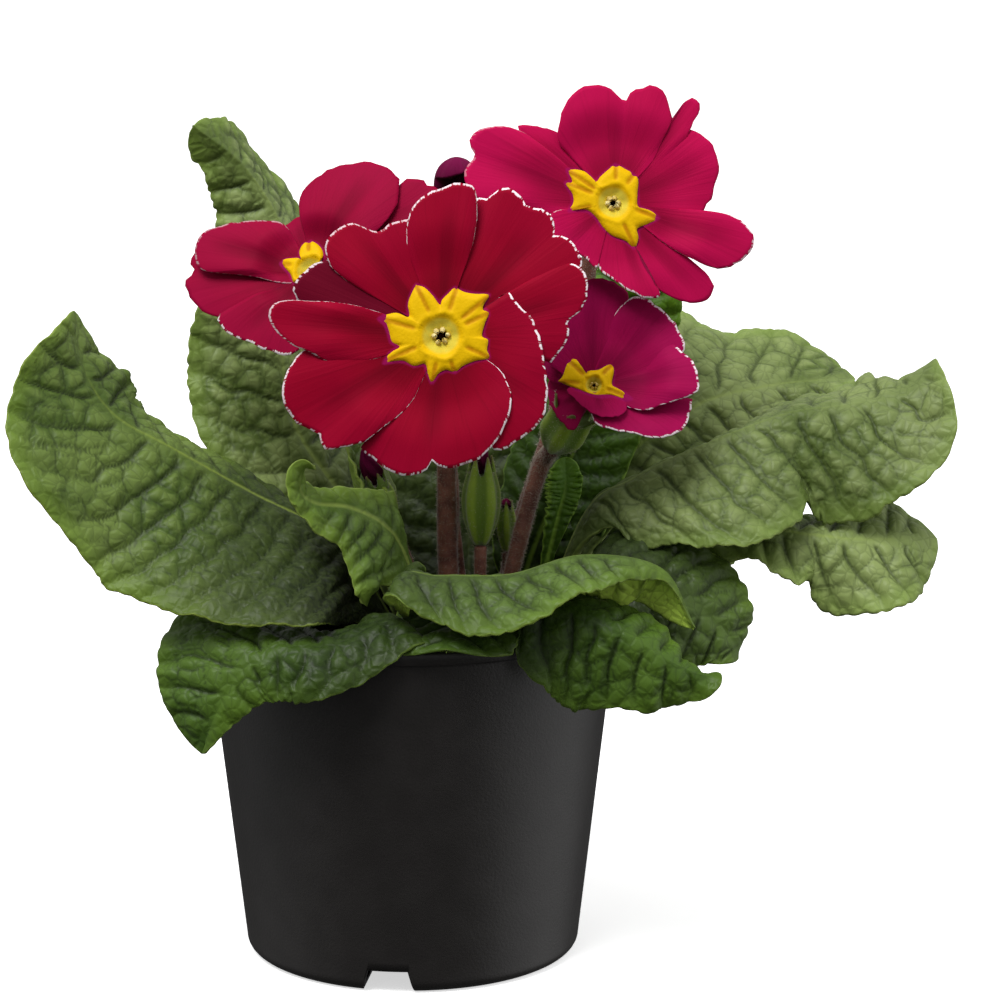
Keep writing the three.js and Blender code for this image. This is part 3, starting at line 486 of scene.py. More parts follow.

# Leaves are laid out much as in the frame's source: a compass heading and the foot, then stations
# from there to the tip, each the rib's point, then the half-width and the dip of the left and the
# right half. ruffles gives each half's waves: their height, how many there are and where they
# start. fold gives the half that is folded, 1 for the right, the place and the step. curl is how
# many degrees each half turns down on the way to its margin, veins the distance from vein to vein
# and fine the fineness of the mesh. dark, fade, shade and rib set painted shade and the rib: how
# far from its foot the leaf is painted darker, as in the shade of the crown, how sharply that ends,
# how much painted shade it has all over and how pale its rib is, which by default fades with that shade.
LEAVES = {
    "leaf_left": dict(
        heading=190, curl=15, veins=6.8, paint=LEAF, fine=1.0, seed=1, foot=[-0.5, -5],
        ruffles=[[0.7, 4, 0.53], [0.6, 2, 0]], dark=62, fade=4,
        stations=[
            [-6, -8, 77, 12, 30, 6, 0],
            [-15, -11, 92, 32.5, 15, 10, -5],
            [-33, -15, 103, 34.5, 37, 15, -14],
            [-49, -18, 113, 33.5, 53, 15.5, -8],
            [-61, -18, 120, 27.5, 46, 15, -22],
            [-67.5, -14, 129, 17.5, 45, 16, -42],
            [-70, -8, 140, 4, 20, 7, -30],
        ],
    ),
    "leaf_back_left": dict(
        heading=105, curl=10, veins=7.2, paint=LEAF_PALE, fine=0.9, seed=2, foot=[2.6, 6.6],
        ruffles=[[2.5, 3, 0.5], [2, 3, 0]],
        stations=[
            [-12, 9, 92, 5, -10, 15, 20],
            [-25, 12, 112, 20, -5, 20, 30],
            [-28, 16, 133, 19, 0, 16, 45],
            [-27, 18, 151, 16, 5, 19, 60],
            [-35, 18, 166, 10, 10, 15, 65],
            [-46, 14, 176, 7, 10, 6, 30],
        ],
    ),
    "leaf_front_left": dict(
        heading=200, curl=15, veins=6, paint=LEAF_SHADED, fine=0.9, seed=3, foot=[3.3, -11],
        ruffles=[[1.5, 2, 0], [1, 2, 0.5]], dark=58, rib=0.15,
        stations=[
            [-2, -33, 80.3, 11, 6, 8, 14],
            [-14, -43, 77.8, 10.5, 36, 13, 0],
            [-26, -44, 76.5, 11.5, 54, 16, -8],
            [-34, -44, 72, 9, 60, 21, -36],
            [-39, -44, 63, 4, 40, 17, -45],
            [-42, -42, 54, 2, 0, 10, -45],
        ],
    ),
    "leaf_young_left": dict(
        heading=200, curl=25, veins=4.5, paint=LEAF_YOUNG, fine=0.8, seed=4, foot=[5.6, -7.5],
        ruffles=[[1, 2, 0], [1, 2, 0.5]], dark=22,
        stations=[
            [-1, -16, 89, 15, 46, 12, -30],
            [-5, -20.5, 97, 18, 46, 9, -55],
            [-12, -23.5, 101.5, 10, 48, 5, -50],
            [-19, -26, 103, 6, 55, 4.5, -60],
            [-22, -28, 106, 4, 60, 4, -50],
            [-21.5, -28, 110.5, 3, 60, 3, -20],
            [-19, -27, 110.5, 1, 0, 1, 0],
        ],
    ),
    "leaf_front": dict(
        heading=345, curl=10, veins=5.5, paint=LEAF_HALF_SHADED, fine=0.9, seed=5, foot=[7.5, -14],
        ruffles=[[0.5, 1.5, 0.2], [1.5, 1.5, 0.5]],
        stations=[
            [-1, -33, 88, 4, 0, 8, -10],
            [7, -37, 90.5, 8, 30, 13.5, 30],
            [21, -38, 91, 9, 30, 16, 36],
            [36, -36, 94.5, 10, 62, 11.5, 22],
            [52, -33.5, 91, 12, 76, 3, 8],
            [59, -32, 78, 6, 70, 1.5, 0],
        ],
    ),
    "leaf_front_low": dict(
        heading=262, curl=20, veins=5, paint=LEAF_SHADED, fine=0.6, seed=6, foot=[12, -17],
        ruffles=[[1, 2, 0], [1, 2, 0.5]],
        stations=[
            [10, -27, 81, 10, 0, 10, 0],
            [9, -39, 80.5, 14, 5, 14, 5],
            [8, -48.5, 77.5, 12, 5, 13, 5],
        ],
    ),
    "leaf_front_right": dict(
        heading=325, curl=15, veins=5.8, paint=LEAF_SHADED, fine=0.9, seed=7, foot=[17, -15],
        ruffles=[[1, 2, 0], [1, 3, 0.3]], rib=0.25,
        stations=[
            [24, -31, 84, 8, 0, 8, 30],
            [33, -39, 84.5, 12, -5, 17.5, 62],
            [43, -43, 80.5, 12, -5, 19.5, 65],
            [53, -43, 74, 9, 0, 12.5, 62],
            [60, -41, 70.5, 5, 10, 6, 55],
            [64, -39, 70, 3, 0, 3, 0],
        ],
    ),
    "leaf_right_low": dict(
        heading=345, curl=20, veins=5.5, paint=LEAF_HALF_SHADED, fine=0.8, seed=8, foot=[22, -12],
        ruffles=[[1, 3, 0], [1, 3, 0.3]], dark=55, rib=0.4,
        stations=[
            [40, -20, 87, 15, -30, 10, 35],
            [52, -24, 85.5, 14, -35, 15, 55],
            [61, -25, 80, 14, -45, 15.5, 55],
            [67, -24, 73.5, 8, -45, 10, 50],
            [68.5, -22, 69, 3, 0, 3, 0],
        ],
    ),
    "leaf_right": dict(
        heading=2, curl=15, veins=7.6, paint=LEAF_PALE, fine=1.0, seed=9, foot=[26, -2.5],
        ruffles=[[0.8, 2, 0], [2.5, 2.5, 0.2]], fold=(1, 0.555, 2.8), dark=50, shade=0.28,
        stations=[
            [36.5, -5.5, 95.5, 2, 20, 9, 25],
            [47, -7, 104.5, 11, 20, 17.5, 40],
            [61, -8, 111.5, 15, 20, 25.5, 49],
            [79, -6, 118, 16, 2, 23, 58],
            [93, -4, 119.5, 17, -5, 24.5, 55],
            [103.5, -2, 121.5, 16, -20, 18.5, 48],
            [111, 2, 128, 5, 0, 4, 0],
        ],
    ),
    "leaf_back_right": dict(
        heading=20, curl=10, veins=7.6, paint=LEAF_PALE, fine=0.9, seed=10, foot=[25, 3],
        ruffles=[[2, 3, 0], [2, 2, 0.3]],
        stations=[
            [43, 12, 100, 14, -25, 9, 45],
            [60, 19, 114, 28, -40, 18, 50],
            [75, 23, 118, 24, -28, 18, 45],
            [88, 26, 119, 19, -20, 12, 35],
            [96, 26, 119, 7, -10, 5, 0],
        ],
    ),
    "leaf_right_lower": dict(
        heading=345, curl=20, veins=6, paint=LEAF_PALE, fine=0.9, seed=11, foot=[25, -7.5],
        ruffles=[[1, 3, 0], [3.5, 2.5, 0.25]], fold=(1, 0.51, 1.6),
        stations=[
            [48, -9, 88, 6, 10, 6, 45],
            [70, -11, 94.5, 9, 5, 7.5, 60],
            [84, -13, 93.5, 12, -15, 12.5, 58],
            [93, -13, 92.5, 15, -30, 16, 55],
            [103, -11, 92, 16, -35, 14.5, 50],
            [111, -7, 91, 10, -30, 8, 40],
        ],
    ),
    "leaf_crown_crinkled": dict(
        heading=110, curl=30, veins=2.8, paint=LEAF_FRESH, fine=1.6, seed=12, foot=[21.5, -7.5],
        ruffles=[[0.9, 24, 0], [0.9, 24, 0.5]],
        stations=[
            [27, -10, 80, 0.9, 0, 0.9, 0],
            [31, -12, 97, 2.8, -20, 2.8, -20],
            [32.5, -12, 103, 4.0, -20, 4.0, -20],
            [32.5, -11, 109.5, 3.2, -20, 3.2, -20],
        ],
    ),
    "leaf_crown_back": dict(
        heading=70, curl=20, veins=5, paint=LEAF_FRESH, fine=0.6, seed=13, foot=[19, 11],
        ruffles=[[1.5, 2, 0], [1.5, 2, 0.5]], shade=0.0, dark=60,
        stations=[
            [26, 12, 84, 10, -15, 12, -10],
            [35, 15, 106, 14, -10, 14, -10],
            [42, 19, 127, 14, -5, 14, -5],
            [46, 22, 143, 13, 0, 13, 0],
            [48, 24, 152, 3, 0, 3, 0],
        ],
    ),
    "leaf_crown_left": dict(
        heading=170, curl=25, veins=4, paint=LEAF_YOUNG, fine=0.7, seed=14, foot=[4.4, -1.6],
        ruffles=[[1, 2, 0], [1, 2, 0.5]],
        stations=[
            [-6, -2, 86, 8, -25, 8, -25],
            [-12, -1, 104, 7, -25, 7, -25],
            [-13, 2, 120, 1.5, 0, 1.5, 0],
        ],
    ),
    "leaf_back": dict(
        heading=95, curl=20, veins=6.5, paint=LEAF, fine=0.6, seed=15, foot=[12, 12],
        ruffles=[[2, 2, 0], [2, 3, 0.3]], shade=0.5,
        stations=[
            [12, 25, 83, 20, 10, 20, -12],
            [11, 36, 107, 18, 5, 28, -5],
            [9, 52, 104, 25, 20, 28, 15],
            [7, 68, 93, 26, 25, 26, 25],
            [6, 84, 78, 4, 0, 4, 0],
        ],
    ),
    "leaf_back_low_left": dict(
        heading=140, curl=20, veins=6.2, paint=LEAF_SHADED, fine=0.6, seed=16, foot=[6.5, 10],
        ruffles=[[2, 2, 0.2], [2, 2, 0.6]],
        stations=[
            [-9, 24, 86, 9, 8, 10, 15],
            [-26, 39, 90, 14, 12, 19, 20],
            [-42, 52, 84, 16, 20, 20, 25],
            [-54, 60, 70, 2, 0, 2, 0],
        ],
    ),
    "leaf_back_low_right": dict(
        heading=45, curl=20, veins=6.2, paint=LEAF, fine=0.6, seed=17, foot=[24.5, 7.5],
        ruffles=[[2, 2, 0.1], [2, 2, 0.7]],
        stations=[
            [36, 22, 84, 10, 15, 10, 15],
            [50, 38, 90, 20, 20, 20, 20],
            [66, 52, 86, 20, 25, 20, 25],
            [80, 62, 74, 2, 0, 2, 0],
        ],
    ),
    "leaf_left_low": dict(
        heading=155, curl=20, veins=5.5, paint=LEAF_SHADED, fine=0.6, seed=18, foot=[-0.5, 1.5],
        ruffles=[[1.5, 2, 0.4], [1.5, 2, 0.8]],
        stations=[
            [-16, 8, 83, 8, 5, 8, 5],
            [-29, 15, 86, 14, 8, 8, 8],
            [-41, 22, 84, 13, 10, 8, 10],
            [-51, 29, 78, 3, 0, 3, 0],
        ],
    ),
}
LEAF_SLOTS = {
    LEAF: "leaf", LEAF_HALF_SHADED: "leaf", LEAF_SHADED: "leaf",
    LEAF_PALE: "leaf_pale", LEAF_FRESH: "leaf_young", LEAF_YOUNG: "leaf_young",
}


def scattered(points, spacing, seed):
    """Spots picked at random from points, none nearer than spacing to another."""
    rng = np.random.default_rng(seed)
    taken = np.full((MOST_BLISTERS, 3), FAR)
    count = 0
    for spot in points[rng.permutation(len(points))[:TRIED_SPOTS]]:
        if ((taken[: count + 1] - spot) ** 2).sum(axis=1).min() > spacing**2:
            taken[count] = spot
            count += 1
    return taken[:count]


def cell_walls(points, spots):
    """How far each point is from the wall between its nearest spot and the next, and which that is."""
    wall = []
    cell = []
    for part in np.array_split(points, len(points) // BATCH + 1):
        squares = (part**2).sum(1)[:, None] + (spots**2).sum(1) - 2 * part @ spots.T
        near = np.argpartition(squares, 1, axis=1)[:, :2]
        gap = np.take_along_axis(squares, near, axis=1)
        apart = np.linalg.norm(spots[near[:, 0]] - spots[near[:, 1]], axis=1)
        wall.append(np.abs(gap[:, 1] - gap[:, 0]) / (2 * apart))
        cell.append(np.where(gap[:, 0] < gap[:, 1], near[:, 0], near[:, 1]))
    return np.concatenate(wall), np.concatenate(cell)


def make_leaf(node, leaf):
    petiole = [PETIOLE_HALF_WIDTH, 0, PETIOLE_HALF_WIDTH, 0]
    stations = [leaf["foot"] + [FOOT_HEIGHT] + petiole] + leaf["stations"]
    trial = blend(stations, np.linspace(0, 1, 60))[:, :3]
    length = np.linalg.norm(np.diff(trial, axis=0), axis=1).sum()
    widest = max(row[3] + row[5] for row in stations)
    rows = 2 * int(length * leaf["fine"] / GRID / 2) + 1
    half = int(widest * leaf["fine"] / GRID / 2)
    u = np.linspace(0, 1, rows)
    v = np.linspace(-1, 1, 2 * half + 1)
    grid = (rows, len(v))
    seed = leaf["seed"]

    # The rib, with the directions across and up from it
    row = blend(stations, u)
    rib = row[:, :3]
    ahead = blend(stations, np.minimum(u + NEARBY, 1))[:, :3]
    behind = blend(stations, np.maximum(u - NEARBY, 0))[:, :3]
    tangent = unit(ahead - behind)
    heading = math.radians(leaf["heading"])
    side = np.array([math.sin(heading), -math.cos(heading), 0.0])
    across = unit(side - tangent * (tangent @ side)[:, None])
    up = np.cross(across, tangent)
    travelled = np.concatenate([[0], np.cumsum(np.linalg.norm(np.diff(rib, axis=0), axis=1))])

    # The margin: how far each half reaches from the rib, with its teeth and lobes
    is_right = v > 0
    reach = np.abs(v)[None, :]
    u = u[:, None]
    run = travelled[:, None]
    closing = np.maximum(0, (u - TIP_START) / (1 - TIP_START))
    in_blade = smoothstep((u - PETIOLE_END / 3) / PETIOLE_END)
    blade_width = np.where(is_right, row[:, 5:6], row[:, 3:4])
    width = PETIOLE_HALF_WIDTH * (1 - in_blade) + blade_width * in_blade
    rounding = np.sqrt(np.clip(1 - 0.8 * closing**2 - 0.2 * closing**8, 0, 1))
    width = np.maximum(width * rounding, TIP_HALF_WIDTH)
    folded_half, fold_place, fold_step = leaf.get("fold", NO_FOLD)
    folded = is_right == folded_half
    if "fold" in leaf:
        width = width * (1 - NOTCH_DEPTH * hill(u - fold_place, NOTCH_WIDTH) * folded)
    seeds = np.where(is_right, seed, seed + 40)
    teeth = np.abs(np.cos(math.pi * (run / TOOTH + 0.3 * wander(run / 5, seeds)))) - 0.6
    lobes = wander(run / LOBE * 2, seeds + 3)
    edge_room = in_blade * np.minimum(1, width / 6)
    a = reach * width
    out = a + reach**6 * edge_room * (TOOTH_DEPTH * teeth + LOBE_DEPTH * lobes)

    # The bent, waved and folded surface midway between top and bottom
    dip = np.radians(np.where(is_right, row[:, 6:7], row[:, 4:5]))
    bend = math.radians(leaf["curl"])
    height, count, start = np.array(leaf["ruffles"], float)[is_right.astype(int)].T[:, None, :]
    flutter = height * reach * np.sin(2 * math.pi * (count * u + start)) * np.minimum(1, width / 3.5) ** 2
    jump = np.exp(-np.abs(u - fold_place) / 0.1) * np.tanh((fold_place - u) / 0.008)
    flutter = flutter + folded * fold_step * reach * jump
    bulge = in_blade * (1 - closing) * reach * flutter
    turned = bend * np.maximum(reach, 1e-6)
    sideways = out * (np.sin(dip + bend * reach) - np.sin(dip)) / turned
    down = out * (np.cos(dip) - np.cos(dip + bend * reach)) / turned
    sideways = sideways + bulge * np.sin(dip)
    rise = bulge * np.cos(dip) - down
    outward = np.where(is_right, 1.0, -1.0)[None, :, None] * across[:, None, :]
    middle = rib[:, None, :] + outward * sideways[..., None] + up[:, None, :] * rise[..., None]

    # Side veins, with forks where the blade is stretched and fewer where it is packed
    stretch = np.linalg.norm(np.gradient(middle, axis=0), axis=-1) / np.gradient(travelled)[:, None]
    stretch = np.clip(stretch, 0.4, 2.5)
    forked = smoothstep((np.log2(stretch) - 0.35) / 0.3)
    packed = smoothstep((-np.log2(stretch) - 0.35) / 0.4)
    pitch = leaf["veins"]
    phase = (run - SLANT * a - BOW * a**2 / np.maximum(width, 1)) / pitch + np.where(is_right, 0.5, 0.0)
    phase = phase + 0.15 * wander(run / 9, 5)
    phase = phase + 0.12 * wander(a / 4 + 7 * np.round(phase), seed)
    to_vein = np.abs(phase - np.round(phase)) * pitch * stretch
    to_fork = np.abs(2 * phase - np.round(2 * phase)) * pitch * stretch / 2
    odd = np.mod(np.round(phase), 2)
    strength = (1 - packed * odd) * (1 - 0.35 * reach)
    vein = np.maximum(strength * hill(to_vein, VEIN_WIDTH), forked * 0.7 * hill(to_fork, FORK_WIDTH))

    # Blisters between them
    flat = middle.reshape(-1, 3)
    flat = flat + 0.45 * np.sin(0.9 * flat[:, [1, 2, 0]] + seed)
    free = (np.minimum(to_vein, to_fork + 9 * (forked < 0.5)) > 1.1) & (a > 1.3)
    spots = scattered(flat[free.ravel()], CELL * (pitch / 7) ** 0.5, seed)
    wall, cell = (values.reshape(grid) for values in cell_walls(flat, spots))
    to_edge = np.minimum(wall, to_vein + 9 * packed * odd)
    dome = 1 - np.exp(-((to_edge / 1.0) ** 1.5))
    dome = dome * (0.7 + 0.6 * hashed(cell, 3, seed))

    # The two faces
    on_rib = hill(a, RIB_HALF_WIDTH) * (1 - 0.8 * closing) * (1 - 0.6 * u)
    body = in_blade * (1 - closing**3) * (1 - 0.6 * reach**6) * np.minimum(1, width / 8)
    body = body * (1 - hill(a, 2 * RIB_HALF_WIDTH))
    pleats = PLEAT * np.cos(2 * math.pi * phase + math.pi) * reach * (1 - packed)
    relief = (BLISTER * dome - VEIN_DEPTH * vein + pleats) * body - RIB_GROOVE * on_rib * in_blade
    thick = PETIOLE_THICKNESS * (1 - in_blade) + BLADE_THICKNESS * in_blade
    thick = thick * (1 - 0.5 * reach**8 * in_blade)
    normals = grid_normals(middle)
    top = middle + normals * (relief + thick / 2)[..., None]
    stalk = RIB_DEPTH * hill(a, 0.9) * (1 - 0.8 * u) * in_blade
    hollow = np.minimum(relief, 0.3 * relief) - 0.15 * in_blade * (1 - reach**8)
    bottom = middle + normals * (hollow - stalk - thick / 2)[..., None]

    # Painted shade: the leaf is painted darker near its foot, standing for the shade down in the crown, and
    # darker all over by its shade. The base mark carries that painted shade; dome also sets the painted
    # highlight on the blister tops.
    shade = leaf.get("shade", 0.0)
    dark = np.exp(-((run / leaf.get("dark", PAINTED_SHADE_REACH)) ** leaf.get("fade", 2)))
    marks = dict(
        groove=np.maximum(vein, 0.7 * hill(wall, WALL_WIDTH)) * body,
        rib=on_rib * leaf.get("rib", 1 - shade),
        margin=width * (1 - reach),
        dome=dome * body,
        base=np.maximum(dark, shade),
    )
    coarse = ((rows + 1) // 2, (len(v) + 1) // 2)
    both = {"under": np.repeat([0.0, 1.0], [rows * len(v), coarse[0] * coarse[1]])}
    for name, mark in marks.items():
        mark = np.broadcast_to(mark, grid)
        both[name] = np.concatenate([mark.ravel(), mark[::2, ::2].ravel()])
    points = np.vstack([top.reshape(-1, 3), bottom[::2, ::2].reshape(-1, 3)])
    lower = grid_faces(*coarse, start=rows * len(v), flip=True)
    shape = Shape()
    shape.add(points, [grid_faces(*grid), lower, stitched_rim(grid, coarse)], **both)
    shape.piece(node.replace("leaf", "blade"), [leaf["paint"]], LEAF_SLOTS[leaf["paint"]], [node])


for node, leaf in LEAVES.items():
    make_leaf(node, leaf)

# ------------------------------------------------------------------ blooms

LAYER = 1.0  # from one petal to the one it lies on
FOOT_LAYER = 0.14  # the same by the eye
BOWL = 1.0
PETAL_THICKNESS = 0.45
PETAL_ROWS = 26
PETAL_COLUMNS = 46
FUNNEL = 1.3  # the eye's funnel against its throat's radius
PETAL_START = 0.3  # most of a petal's length that its funnel may take
FOOT_SINK = 2.0  # how far a petal's foot goes down under the eye's funnel
TUBE_LENGTH = 9.0
TUBE_RADIUS = 1.9
TUBE_SIDES = 24
STAR_LIFT = 0.85
STAR_THICKNESS = 0.3
STAR_ROWS = 16
STAR_COLUMNS = 220
ANTHERS = 6
ANTHER_SIDES = 8
ANTHER_RADII = np.array([0.1, 0.14, 0.18, 0.19, 0.15, 0.05])  # from foot to top, against the throat's
WELL_DEPTH = 4.0  # of the hole in the throat
WELL_SIDES = 20
WELL_ROWS = 8
CALYX_LENGTH = 10.0
CALYX_RADIUS = 3.6
CALYX_SIDES = 60
CALYX_ROWS = 14
TOOTH_ROWS = 6
CALYX_HAIRS = 900
GAP = 0.3
APPROACH = 6.0  # how far a stem runs straight before its calyx
STEM_TOP_RADIUS = 1.6
STEM_ROWS = 70
STEM_SIDES = 20
STEM_HAIRS = 5000
HAIRS_FROM = 68.0  # height above which a stem has hairs
HAIR_LENGTH = 0.8
CALYX_HAIR_LENGTH = 0.64
HAIR_RADIUS = 0.035
HAIR_ROOT = 0.08
HAIR_STRAY = 0.6  # how far a hair may grow from the point it was drawn at

